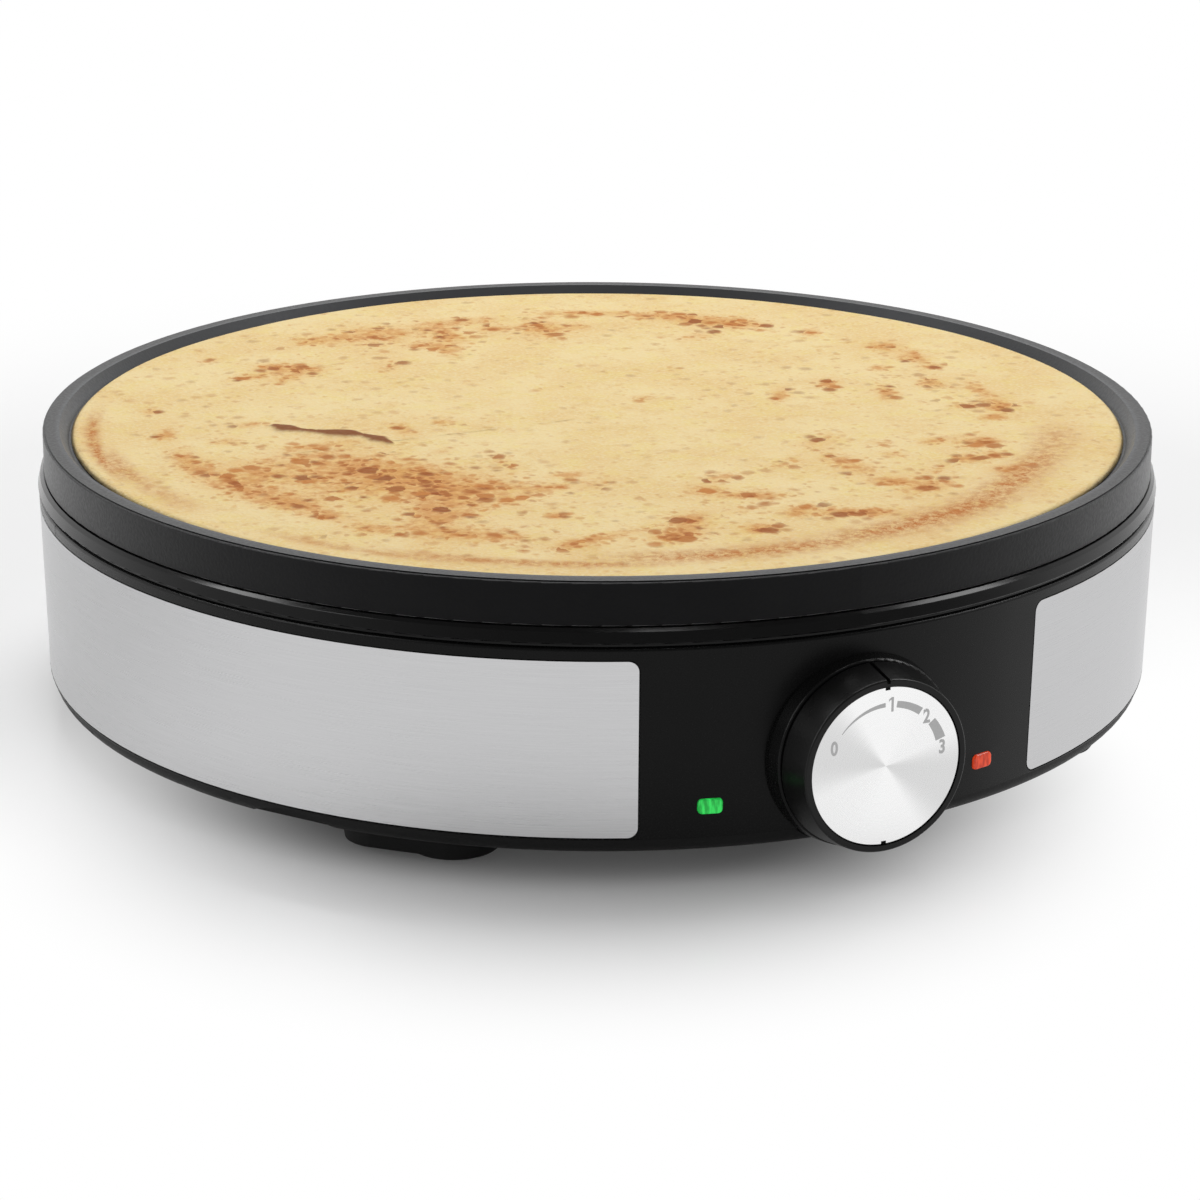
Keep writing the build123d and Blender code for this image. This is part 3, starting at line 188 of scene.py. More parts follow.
# a direction's Y is -1 on the camera's side and 1 behind the object, and its Z is 1 straight up
toward = add(tree, "ShaderNodeTexCoord").outputs["Generated"]
toward = add(tree, "ShaderNodeSeparateXYZ", {0: toward}).outputs
wall = add(tree, "ShaderNodeMapRange", {
    "Value": toward["Y"], "From Min": -0.9, "From Max": 0.1, "To Min": camera_side_level, "To Max": 1.0},
    interpolation_type="SMOOTHSTEP")
ceiling = add(tree, "ShaderNodeMapRange", {
    "Value": toward["Z"], "From Min": 0.4, "From Max": 0.75, "To Min": 1.0, "To Max": ceiling_level},
    interpolation_type="SMOOTHSTEP")
room = add(tree, "ShaderNodeMath", {0: wall, 1: ceiling}, operation="MULTIPLY")
ray = add(tree, "ShaderNodeLightPath").outputs
mirrored = add(tree, "ShaderNodeMath", {
    0: ray["Is Glossy Ray"], 1: ray["Is Transmission Ray"]}, operation="MAXIMUM")
level = add(tree, "ShaderNodeMix", {"Factor": mirrored, "A": fill_level, "B": room}, data_type="FLOAT")
level = add(tree, "ShaderNodeMix", {
    "Factor": ray["Is Camera Ray"], "A": level, "B": 1.0}, data_type="FLOAT")
sky = add(tree, "ShaderNodeBackground", {"Color": "#FFFFFF", "Strength": level})
add(tree, "ShaderNodeOutputWorld", {"Surface": sky})
bpy.context.scene.view_settings.view_transform = "Standard"
print("world fill", fill_level)

# %% [markdown]
# One wide soft box stands high behind the object and a little to the right, so that its shadow falls
# towards the viewer. The other lamps are seen by glossy surfaces only, as white cards in a studio
# are: lit by them, the floor would get shadows that only dirty it. A tall one at each side brightens
# the flanks, and three small ones overhead draw bright lines along the bevel of the ring.

# %% Lights
def soft_box(name, place, aim, size, watts, mirrored_only=True):
    lamp = bpy.data.lights.new(name, "AREA")
    lamp.shape = "RECTANGLE"
    lamp.size, lamp.size_y = size
    lamp.energy = watts
    holder = bpy.data.objects.new(name, lamp)
    holder.location = place
    holder.visible_diffuse = not mirrored_only
    holder.rotation_mode = "QUATERNION"
    holder.rotation_quaternion = (Vector(aim) - Vector(place)).to_track_quat("-Z", "Y")
    bpy.context.collection.objects.link(holder)
    print(name, watts, "W")


foot_of_body, middle_of_body, crepe_middle = (0, 0, 0), (0, 0, 0.05), (0, 0, 0.07)
soft_box("high_box", place=(0.36, 0.66, 1.45), aim=foot_of_body, size=(1.2, 1.2), watts=15,
         mirrored_only=False)
soft_box("left_card", place=(-1.5, -0.2, 0.9), aim=middle_of_body, size=(0.6, 1.0), watts=9)
soft_box("right_card", place=(1.3, -0.9, 0.9), aim=middle_of_body, size=(0.6, 1.0), watts=3)
soft_box("left_spot", place=(-0.81, 0.50, 1.17), aim=crepe_middle, size=(0.45, 0.45), watts=7)
soft_box("top_spot", place=(0.0, -0.45, 1.42), aim=crepe_middle, size=(0.20, 0.30), watts=2.4)
soft_box("right_spot", place=(0.95, -0.25, 1.14), aim=crepe_middle, size=(0.60, 0.45), watts=8)

# %% [markdown]
# The baking plate is cast aluminium with a sprayed non-stick coat, baked on. It gives the eye a
# deep grey-black with a soft, broad sheen and a fine orange-peel grain of nearly a millimetre.
# A dark specular tint lowers the reflection seen head-on and leaves the grazing one, so the wall is
# black where it faces the eye and grey where it turns away. On the inner slope of the rim the black
# is painted greyer: a painted reflection of the bright room. Patterns are sized in millimetres: a
# noise on coordinates in millimetres, with a scale of one over a size, has lumps of about that size.

# %% Non-stick coat on cast aluminium
def in_millimetres(tree):
    place = add(tree, "ShaderNodeTexCoord").outputs["Object"]
    return add(tree, "ShaderNodeVectorMath", {0: place, 1: (1000, 1000, 1000)}, operation="MULTIPLY")


peel_size, cloud_size, peel_depth = 0.9, 14, 0.05
# the inner slope of the rim, in millimetres from the axis: where the painted reflection fades in, and where
# it fades out
slope_starts, slope_ends = (147.2, 148.2), (150.6, 152.0)
nonstick_cast, tree = finish_named("nonstick_coated_cast_aluminium")
place = in_millimetres(tree)
peel = add(tree, "ShaderNodeTexNoise", {"Vector": place, "Scale": 1 / peel_size, "Detail": 4.0})
clouds = add(tree, "ShaderNodeTexNoise", {"Vector": place, "Scale": 1 / cloud_size, "Detail": 3.0})
level = add(tree, "ShaderNodeVectorMath", {0: place, 1: (1, 1, 0)}, operation="MULTIPLY")
from_axis = add(tree, "ShaderNodeVectorMath", {0: level}, operation="LENGTH")
past_face = add(tree, "ShaderNodeMapRange", {
    "Value": from_axis, "From Min": slope_starts[0], "From Max": slope_starts[1]},
    interpolation_type="SMOOTHSTEP")
before_rim = add(tree, "ShaderNodeMapRange", {
    "Value": from_axis, "From Min": slope_ends[0], "From Max": slope_ends[1], "To Min": 1, "To Max": 0},
    interpolation_type="SMOOTHSTEP")
painted_slope_reflection = add(tree, "ShaderNodeMath", {0: past_face, 1: before_rim}, operation="MULTIPLY")
colour = add(tree, "ShaderNodeMix", {"Factor": clouds, "A": "#111111", "B": "#181818"}, data_type="RGBA")
# painted reflection: the rim's inner slope is painted grey, as if it mirrored the bright room
colour = add(tree, "ShaderNodeMix", {"Factor": painted_slope_reflection, "A": colour, "B": "#3B3D40"}, data_type="RGBA")
shine = add(tree, "ShaderNodeMapRange", {
    "Value": peel, "From Min": 0.3, "From Max": 0.7, "To Min": 0.36, "To Max": 0.48},
    interpolation_type="SMOOTHSTEP")
relief = add(tree, "ShaderNodeBump", {"Height": peel, "Distance": peel_depth / 1000})
coat = add(tree, "ShaderNodeBsdfPrincipled", {
    "Base Color": colour, "Roughness": shine, "Specular Tint": "#616165", "Sheen Weight": 0.32,
    "Sheen Roughness": 0.4, "Normal": relief})
add(tree, "ShaderNodeOutputMaterial", {"Surface": coat})
print("non-stick coat ready")

# %% [markdown]
# Most of the other parts have a plain finish, which one function can make: two close tones in soft
# clouds, a skin whose grain makes the shine uneven, and a shallow relief. Each of the three has its
# own lump size in millimetres and its own detail. The housing is ABS moulded in a polished tool, and
# the ring is polished further. The wall is a little softer, because a fine spark texture takes the
# mirror off it. The tray is polypropylene from a rougher tool, and the feet are soft rubber.

# %% Moulded blacks
def plain_finish(name, tones, cloud, lumps, depth, rough, skin=None, shader_values=None):
    """Roughness is one number, or with a skin the least and the most of it."""
    material, tree = finish_named(name)
    place = in_millimetres(tree)
    layers = [cloud, lumps, skin] if skin else [cloud, lumps]
    clouds, swells, *grain = (
        add(tree, "ShaderNodeTexNoise", {"Vector": place, "Scale": 1 / size, "Detail": detail})
        for size, detail in layers)
    colour = add(tree, "ShaderNodeMix", {"Factor": clouds, "A": tones[0], "B": tones[1]}, data_type="RGBA")
    relief = add(tree, "ShaderNodeBump", {"Height": swells, "Distance": depth / 1000})
    if skin:
        rough = add(tree, "ShaderNodeMapRange", {"Value": grain[0], "To Min": rough[0], "To Max": rough[1]},
                    interpolation_type="SMOOTHSTEP")
    shader = add(tree, "ShaderNodeBsdfPrincipled", {
        "Base Color": colour, "Roughness": rough, "Normal": relief, **(shader_values or {})})
    add(tree, "ShaderNodeOutputMaterial", {"Surface": shader})
    return material


satin_abs = plain_finish(
    "satin_moulded_black_abs", ("#0D0D0D", "#121212"), cloud=(20, 3), skin=(0.6, 3), lumps=(0.6, 3),
    rough=(0.24, 0.30), depth=0.0012, shader_values={"Specular Tint": "#7C7C7C"})
gloss_abs = plain_finish(
    "polished_moulded_black_abs", ("#0B0B0B", "#0F0F0F"), cloud=(20, 3), skin=(5, 3), lumps=(6, 1),
    rough=(0.13, 0.18), depth=0.004, shader_values={"Specular Tint": "#959595"})
knob_abs = plain_finish(
    "satin_moulded_knob_abs", ("#0C0C0C", "#111111"), cloud=(12, 3), skin=(0.5, 3), lumps=(0.5, 3),
    rough=(0.26, 0.32), depth=0.006, shader_values={"Specular Tint": "#AAAAAA"})
tray_pp = plain_finish(
    "matt_moulded_black_polypropylene", ("#0F0F0F", "#151515"), cloud=(15, 3), skin=(0.7, 2),
    lumps=(0.7, 2), rough=(0.48, 0.60), depth=0.03, shader_values={"Specular Tint": "#959595"})
foot_rubber = plain_finish(
    "moulded_black_rubber", ("#161616", "#1F1F1F"), cloud=(3, 3), lumps=(0.8, 3),
    rough=0.8, depth=0.04)
print("moulded blacks ready")

# %% [markdown]
# The two side panels are stainless sheet, brushed along the wall by an abrasive belt. The scratches
# run around the body, so they are noise stretched some eighty times around the axis, and the grooves
# spread each reflection up and down: that is anisotropy, with its tangent along the scratches.
# Real scratches are about 0.05 mm wide; here they are 0.35 mm, so that they show.

# %% Brushed stainless sheet
wall_radius, squeezed_along, scratches_per_mm, scratch_depth = 156.0, 0.012, 2.9, 0.003
brushed_stainless, tree = finish_named("belt_brushed_stainless_steel")
axes = add(tree, "ShaderNodeSeparateXYZ", {0: in_millimetres(tree)}).outputs
turn = add(tree, "ShaderNodeMath", {0: axes["Y"], 1: axes["X"]}, operation="ARCTAN2")
arc = add(tree, "ShaderNodeMath", {0: turn, 1: wall_radius}, operation="MULTIPLY")
arc = add(tree, "ShaderNodeMath", {0: arc, 1: squeezed_along}, operation="MULTIPLY")
unrolled = add(tree, "ShaderNodeCombineXYZ", {"X": arc, "Y": axes["Z"]})
scratch = add(tree, "ShaderNodeTexNoise", {
    "Vector": unrolled, "Scale": scratches_per_mm, "Detail": 4.0, "Roughness": 0.75})
backwards = add(tree, "ShaderNodeMath", {0: axes["Y"], 1: -1.0}, operation="MULTIPLY")
along_wall = add(tree, "ShaderNodeCombineXYZ", {"X": backwards, "Y": axes["X"]})
tangent = add(tree, "ShaderNodeVectorMath", {0: along_wall}, operation="NORMALIZE")
tone = add(tree, "ShaderNodeMapRange", {
    "Value": scratch, "From Min": 0.3, "From Max": 0.7}, interpolation_type="SMOOTHSTEP")
colour = add(tree, "ShaderNodeMix", {"Factor": tone, "A": "#C2C2C3", "B": "#CBCBCC"}, data_type="RGBA")
shine = add(tree, "ShaderNodeMapRange", {
    "Value": scratch, "From Min": 0.3, "From Max": 0.7, "To Min": 0.26, "To Max": 0.36},
    interpolation_type="SMOOTHSTEP")
relief = add(tree, "ShaderNodeBump", {"Height": scratch, "Distance": scratch_depth / 1000})
sheet = add(tree, "ShaderNodeBsdfPrincipled", {
    "Base Color": colour, "Metallic": 1.0, "Roughness": shine, "Anisotropic": 0.6,
    "Tangent": tangent, "Normal": relief})
add(tree, "ShaderNodeOutputMaterial", {"Surface": sheet})
print("stainless ready")

# %% [markdown]
# The face of the dial is an aluminium disc, turned with a fine tool while it spins. Each groove is a
# circle, so light gathers in cones that run from the centre to the rim. The tangent therefore runs
# around the dial's axis, which is level, at the height of the dial. A viewer that knows no anisotropy
# would lose the cones, so two faint darker cones are painted into the colour: a painted reflection.
# Real grooves lie about 0.1 mm apart; here they are 0.3 mm, so that they show.

# %% Spun aluminium
groove_pitch, groove_depth, cone_turn = 0.3, 0.0015, math.radians(158)
disc_low, disc_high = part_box("knob_disc")
dial_centre = ((disc_low[0] + disc_high[0]) / 2, disc_low[1], (disc_low[2] + disc_high[2]) / 2)
spun_aluminium, tree = finish_named("spun_aluminium")
place = add(tree, "ShaderNodeTexCoord").outputs["Object"]
arm = add(tree, "ShaderNodeVectorMath", {0: place, 1: dial_centre}, operation="SUBTRACT")
arm = add(tree, "ShaderNodeVectorMath", {0: arm, 1: (1, 0, 1)}, operation="MULTIPLY")
tangent = add(tree, "ShaderNodeVectorMath", {0: arm, 1: (0, 1, 0)}, operation="CROSS_PRODUCT")
tangent = add(tree, "ShaderNodeVectorMath", {0: tangent}, operation="NORMALIZE")
groove_radius = add(tree, "ShaderNodeVectorMath", {0: arm}, operation="LENGTH")
groove_count = add(tree, "ShaderNodeMath", {0: groove_radius, 1: 1000 / groove_pitch}, operation="MULTIPLY")
groove = add(tree, "ShaderNodeTexNoise", {
    "W": groove_count, "Scale": 1.0, "Detail": 2.0}, noise_dimensions="1D")
sides = add(tree, "ShaderNodeSeparateXYZ", {0: arm}).outputs
# painted reflection: two faint darker cones in the colour, fixed to the disc
clock = add(tree, "ShaderNodeMath", {0: sides["Z"], 1: sides["X"]}, operation="ARCTAN2")
off_cone = add(tree, "ShaderNodeMath", {0: clock, 1: cone_turn}, operation="SUBTRACT")
twice = add(tree, "ShaderNodeMath", {0: off_cone, 1: 2.0}, operation="MULTIPLY")
swing = add(tree, "ShaderNodeMath", {0: twice}, operation="COSINE")
painted_cone = add(tree, "ShaderNodeMapRange", {
    "Value": swing, "From Min": 0.1, "From Max": 1.0}, interpolation_type="SMOOTHSTEP")
colour = add(tree, "ShaderNodeMix", {"Factor": groove, "A": "#F3F3F3", "B": "#FBFBFB"}, data_type="RGBA")
colour = add(tree, "ShaderNodeMix", {"Factor": painted_cone, "A": colour, "B": "#DCDCDC"}, data_type="RGBA")
shine = add(tree, "ShaderNodeMapRange", {
    "Value": groove, "To Min": 0.25, "To Max": 0.29}, interpolation_type="SMOOTHSTEP")
relief = add(tree, "ShaderNodeBump", {"Height": groove, "Distance": groove_depth / 1000})
disc = add(tree, "ShaderNodeBsdfPrincipled", {
    "Base Color": colour, "Metallic": 1.0, "Roughness": shine, "Anisotropic": 0.75,
    "Tangent": tangent, "Normal": relief})
add(tree, "ShaderNodeOutputMaterial", {"Surface": disc})
print("dial centre", [round(c, 4) for c in dial_centre])

# %% [markdown]
# The lamp windows are coloured polycarbonate with a neon lamp behind them. They glow a little from
# inside, through upright ribs that scatter the light, and the polished skin keeps a small highlight.
# The ribs are a noise that is squeezed across and stretched upwards.

# %% Lamp lenses
rib_size, rib_stretch, wave_size, wave_depth = 1.1, (1.4, 1.0, 0.3), 1.6, 0.05


def lens_finish(name, deep, bright, glow):
    material, tree = finish_named(name)
    place = in_millimetres(tree)
    upright = add(tree, "ShaderNodeVectorMath", {0: place, 1: rib_stretch}, operation="MULTIPLY")
    ribs = add(tree, "ShaderNodeTexNoise", {"Vector": upright, "Scale": 1 / rib_size, "Detail": 2.0})
    waves = add(tree, "ShaderNodeTexNoise", {"Vector": place, "Scale": 1 / wave_size, "Detail": 3.0})
    lit = add(tree, "ShaderNodeMapRange", {
        "Value": ribs, "From Min": 0.35, "From Max": 0.65}, interpolation_type="SMOOTHSTEP")
    colour, inner_light = (
        add(tree, "ShaderNodeMix", {"Factor": share, "A": deep, "B": bright}, data_type="RGBA")
        for share in (ribs, lit))
    relief = add(tree, "ShaderNodeBump", {"Height": waves, "Distance": wave_depth / 1000})
    shader = add(tree, "ShaderNodeBsdfPrincipled", {
        "Base Color": colour, "Roughness": 0.12, "Specular Tint": "#CBCBCB",
        "Emission Color": inner_light, "Emission Strength": glow, "Normal": relief})
    add(tree, "ShaderNodeOutputMaterial", {"Surface": shader})
    return material


green_lens = lens_finish("lit_green_polycarbonate", "#0E8A30", "#34DC5E", glow=0.6)
red_lens = lens_finish("lit_red_polycarbonate", "#A82812", "#F0522A", glow=0.5)
print("lenses ready")

# %% [markdown]
# Inside are pressed, turned and drawn metal parts and a few moulded ones. Each has its own metal:
# zinc-plated steel for screws and brackets, aluminised sheet for the heat shield, black-oxide steel
# for the element, copper for the sensor, brass for the bush, steatite for the beads.

# %% Metals and ceramics inside
def bare_metal(name, dark, light, rough, lump):
    return plain_finish(name, (dark, light), cloud=(lump, 3), skin=(lump, 3), lumps=(lump / 6, 3),
                        rough=(rough - 0.06, rough + 0.06), depth=0.01, shader_values={"Metallic": 1.0})


def bare_solid(name, dark, light, rough, lump):
    return plain_finish(name, (dark, light), cloud=(lump, 3), skin=(lump, 3), lumps=(lump / 5, 3),
                        rough=(rough - 0.05, rough + 0.05), depth=0.015)


zinc_steel = bare_metal("zinc_plated_pressed_steel", "#A9ABAD", "#C6C7C4", rough=0.32, lump=3)
aluminised_sheet = bare_metal("aluminised_rolled_sheet", "#B4B6B8", "#CDCECF", rough=0.36, lump=8)
element_steel = bare_metal("oxidised_steel_tube", "#4A4642", "#6B6560", rough=0.45, lump=4)
copper = bare_metal("drawn_copper", "#B87550", "#D0906A", rough=0.3, lump=4)
brass = bare_metal("turned_brass", "#BFA25A", "#D8BE78", rough=0.25, lump=4)
tinned_blade = bare_metal("tinned_steel_blade", "#B9B8B2", "#D3D2CC", rough=0.28, lump=3)
shaft_steel = bare_metal("turned_steel", "#9FA1A3", "#BEC0C2", rough=0.25, lump=3)
steatite = bare_solid("fired_steatite_ceramic", "#DED8C8", "#EEE9DC", rough=0.6, lump=3)
white_nylon = bare_solid("moulded_white_nylon", "#DCDBD4", "#EAE9E3", rough=0.45, lump=5)
switch_resin = bare_solid("moulded_brown_phenolic_resin", "#3B2A20", "#4C372B", rough=0.4, lump=4)
print("inner finishes ready")

# %% [markdown]
# The pilot lamps behind the lenses are small tubes of drawn glass. Drawing leaves the glass clear
# and polished, with long, faint waves, so it transmits light and has hardly any relief.

# %% Glass of the pilot lamps
draw_line_size, draw_line_depth = 2, 0.01
lamp_glass, tree = finish_named("drawn_clear_glass")
draw_lines = add(tree, "ShaderNodeTexNoise", {
    "Vector": in_millimetres(tree), "Scale": 1 / draw_line_size, "Detail": 3.0})
relief = add(tree, "ShaderNodeBump", {"Height": draw_lines, "Distance": draw_line_depth / 1000})
glass = add(tree, "ShaderNodeBsdfPrincipled", {
    "Base Color": "#F4E4D8", "Roughness": 0.05, "Transmission Weight": 1.0, "IOR": 1.47, "Normal": relief})
add(tree, "ShaderNodeOutputMaterial", {"Surface": glass})
print("glass ready")

# %% [markdown]
# Each finish goes on its CAD parts. A part comes with a plain material in its one slot, so the slot
# is emptied first. Only the crepe is left, because its own piece replaces it further on.

# %% Dressing the parts
finish_of = {
    nonstick_cast: ["baking_plate"],
    satin_abs: ["front_housing", "rear_housing"],
    gloss_abs: ["trim_ring"],
    knob_abs: ["knob_body"],
    tray_pp: ["base_tray", "cord_gland", "cord_clamp"],
    foot_rubber: ["foot_pads"],
    brushed_stainless: ["left_panel", "right_panel"],
    spun_aluminium: ["knob_disc"],
    green_lens: ["green_lens"],
    red_lens: ["red_lens"],
    lamp_glass: ["neon_lamps"],
    zinc_steel: ["tray_screws", "plate_screws", "clip_screws", "saddle_screws", "cutout_screws",
                 "seam_screws", "thermostat_screws", "clamp_screws", "terminal_screws",
                 "element_clips", "bulb_saddles", "pillars", "thermostat_bracket"],
    aluminised_sheet: ["heat_shield"],
    element_steel: ["heating_element"],
    copper: ["sensor_bulb", "capillary_tube"],
    brass: ["thermostat_bush"],
    tinned_blade: ["element_blades"],
    shaft_steel: ["thermostat_shaft", "knob_spring"],
    steatite: ["element_beads"],
    white_nylon: ["lamp_holders", "terminal_block"],
    switch_resin: ["thermostat_body", "thermal_cutout"]}
undressed = set(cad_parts)
for material, nodes in finish_of.items():
    for node in nodes:
        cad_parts[node].data.materials.clear()
        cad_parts[node].data.materials.append(material)
        undressed.remove(node)
print("left to dress:", undressed)

# %% [markdown]
# Baked batter is pale and matt, with a grain of tiny holes where steam came out. It browns in
# freckles where bubbles touched the plate. The material reads the three values on the crepe's
# points: "toast" decides how many freckles there are and how dark they get, "band" draws the
# golden line near the rim, and "fold" darkens the crest of the fold. The freckles are cells of a
# Voronoi pattern, each with a random tone, and a slow drift of the coordinates makes them ragged.

# %% Baked batter
drift_per_mm, drift_reach, blotch_size, toast_share = 0.35, (3.0, 3.0, 0), 3.2, 0.42
baked_batter, tree = finish_named("baked_batter")
place = in_millimetres(tree)
toast, band, fold = (
    add(tree, "ShaderNodeAttribute", attribute_name=name).outputs["Fac"]
    for name in ("toast", "band", "fold"))
drift = add(tree, "ShaderNodeTexNoise", {
    "Vector": place, "Scale": drift_per_mm, "Detail": 7.0, "Roughness": 0.62}).outputs["Color"]
drift = add(tree, "ShaderNodeVectorMath", {0: drift, 1: (0.5, 0.5, 0.5)}, operation="SUBTRACT")
drift = add(tree, "ShaderNodeVectorMath", {0: drift, 1: drift_reach}, operation="MULTIPLY")
ragged = add(tree, "ShaderNodeVectorMath", {0: place, 1: drift}, operation="ADD")
blotch = add(tree, "ShaderNodeTexNoise", {
    "Vector": ragged, "Scale": 1 / blotch_size, "Detail": 6.0, "Roughness": 0.65})
toasted = add(tree, "ShaderNodeMath", {0: toast, 1: toast_share}, operation="MULTIPLY")
toasted = add(tree, "ShaderNodeMath", {0: blotch, 1: toasted}, operation="ADD")
blotched = add(tree, "ShaderNodeMapRange", {
    "Value": toasted, "From Min": 0.68, "From Max": 0.90}, interpolation_type="SMOOTHSTEP")
print("blotches about", blotch_size, "mm")

# %% [markdown]
# A freckle is a spot in a cell: it grows from the cell's middle, and a random number of the cell
# says whether it shows at all. More of them pass that bar where the batter is toasted, and they
# grow larger there. Two sizes of freckle lie over one another.

# %% Freckles
swell = 1.1  # how far a freckle reaches for each part of its number above the bar


def freckles(spacing, share, growth, edge):
    cells = add(tree, "ShaderNodeTexVoronoi", {"Vector": ragged, "Scale": 1 / spacing, "Randomness": 1.0})
    chance = add(tree, "ShaderNodeSeparateColor", {0: cells.outputs["Color"]}).outputs
    eased = add(tree, "ShaderNodeMath", {0: toast, 1: growth}, operation="MULTIPLY")
    bar = add(tree, "ShaderNodeMath", {0: 1 - share, 1: eased}, operation="SUBTRACT")
    reach = add(tree, "ShaderNodeMath", {0: chance["Red"], 1: bar}, operation="SUBTRACT")
    reach = add(tree, "ShaderNodeMath", {0: reach, 1: swell}, operation="MULTIPLY")
    inside = add(tree, "ShaderNodeMath", {0: reach, 1: cells.outputs["Distance"]}, operation="SUBTRACT")
    spot = add(tree, "ShaderNodeMapRange", {
        "Value": inside, "From Min": -edge, "From Max": edge}, interpolation_type="SMOOTHSTEP")
    return spot, chance["Green"]


freckle, freckle_tone = freckles(spacing=4.6, share=0.30, growth=0.50, edge=0.22)
speck, speck_tone = freckles(spacing=2.5, share=0.28, growth=0.45, edge=0.24)
print("freckles ready")

# %% [markdown]
# The colour is built up in washes, as a painter would, each over the last. The first four are pale
# and come from noises alone: cream, straw, nearly white and sand.

# %% Pale washes
# lump in millimetres, detail and roughness of the noise, where it is read, where the wash starts and
# where it is full, its strength and its colour
pale_washes = [(26, 3.0, 0.5, place, 0.35, 0.65, 1.0, "#F6DDA4"),
               (9, 5.0, 0.7, place, 0.45, 0.70, 0.5, "#F2DA88"),
               (1.1, 3.0, 0.5, place, 0.40, 0.75, 0.5, "#F8E8BE"),
               (5, 5.0, 0.7, ragged, 0.50, 0.75, 0.5, "#E2B872")]
colour = "#F0D092"
for lump, detail, roughness, where, start, full, strength, tone in pale_washes:
    noise = add(tree, "ShaderNodeTexNoise", {
        "Vector": where, "Scale": 1 / lump, "Detail": detail, "Roughness": roughness})
    wash = add(tree, "ShaderNodeMapRange", {
        "Value": noise, "From Min": start, "From Max": full, "To Max": strength},
        interpolation_type="SMOOTHSTEP")
    colour = add(tree, "ShaderNodeMix", {"Factor": wash, "A": colour, "B": tone}, data_type="RGBA")
print(len(pale_washes), "pale washes")

# %% [markdown]
# The browned washes follow the three values of the crepe: a golden tone, specks, blotches and
# freckles where it is toasted, the line near the rim, the darkest spots, and the crest of the fold,
# which is partly browning and partly painted shade of the wrinkle.
# A freckle has no single brown: its cell's random tone picks one between a light and a dark.

# %% Where each brown lies
blotch_strength, crest_unevenness, speckle_size = 0.55, 0.4, 2.2
# the toast where a share starts and where it is full, and its least and its most
golden_range, speck_range = (0.08, 1.0, 0, 0.5), (0.0, 0.6, 0.30, 0.74)
freckle_range, darkest_range = (0.0, 0.5, 0.26, 0.84), (0.5, 1.0, 0, 0.7)
golden, speck_share, freckle_share, darkest_share = (
    add(tree, "ShaderNodeMapRange", {
        "Value": toast, "From Min": start, "From Max": full, "To Min": least, "To Max": most},
        interpolation_type="SMOOTHSTEP")
    for start, full, least, most in (golden_range, speck_range, freckle_range, darkest_range))
specks = add(tree, "ShaderNodeMath", {0: speck, 1: speck_share}, operation="MULTIPLY")
spots = add(tree, "ShaderNodeMath", {0: freckle, 1: freckle_share}, operation="MULTIPLY")
blotches = add(tree, "ShaderNodeMath", {0: blotched, 1: blotch_strength}, operation="MULTIPLY")
speckle = add(tree, "ShaderNodeTexNoise", {
    "Vector": ragged, "Scale": 1 / speckle_size, "Detail": 6.0, "Roughness": 0.8})
speckled = add(tree, "ShaderNodeMapRange", {
    "Value": speckle, "From Min": 0.38, "From Max": 0.60, "To Min": 0.35, "To Max": 1.25},
    interpolation_type="SMOOTHSTEP")
rim_line = add(tree, "ShaderNodeMath", {0: band, 1: speckled}, operation="MULTIPLY", use_clamp=True)
both = add(tree, "ShaderNodeMath", {0: blotched, 1: speck}, operation="MULTIPLY")
darkest = add(tree, "ShaderNodeMath", {0: both, 1: darkest_share}, operation="MULTIPLY")
# the crest of the fold is darkened: partly browning, partly painted shade of the wrinkle
uneven = add(tree, "ShaderNodeMath", {0: blotch, 1: crest_unevenness}, operation="MULTIPLY")
crest_brown_and_shade = add(tree, "ShaderNodeMath", {0: fold, 1: uneven}, operation="ADD")
crest_brown_and_shade = add(tree, "ShaderNodeMapRange", {
    "Value": crest_brown_and_shade, "From Min": 0.28, "From Max": 0.85, "To Max": 0.92}, interpolation_type="SMOOTHSTEP")
print("places of the browns ready")

# %% Browned washes
speck_brown = add(tree, "ShaderNodeMix", {
    "Factor": speck_tone, "A": "#DC9A4A", "B": "#BA6A2C"}, data_type="RGBA")
freckle_brown = add(tree, "ShaderNodeMix", {
    "Factor": freckle_tone, "A": "#CC8038", "B": "#944A1A"}, data_type="RGBA")
# the last wash darkens the fold's crest, partly as browning and partly as painted shade
browned_washes = [(golden, "#E2A44E"), (specks, speck_brown), (blotches, "#D0823A"), (spots, freckle_brown),
                  (rim_line, "#C67A38"), (darkest, "#9E501C"), (crest_brown_and_shade, "#864620")]
for wash, tone in browned_washes:
    colour = add(tree, "ShaderNodeMix", {"Factor": wash, "A": colour, "B": tone}, data_type="RGBA")
print(len(browned_washes), "browned washes")

# %% [markdown]
# The skin of baked batter is matt and shallow: a fine grain, and pores where steam came out. Both
# are relief only. Real pores are smaller than a millimetre; a cell of 1.3 mm shows them.

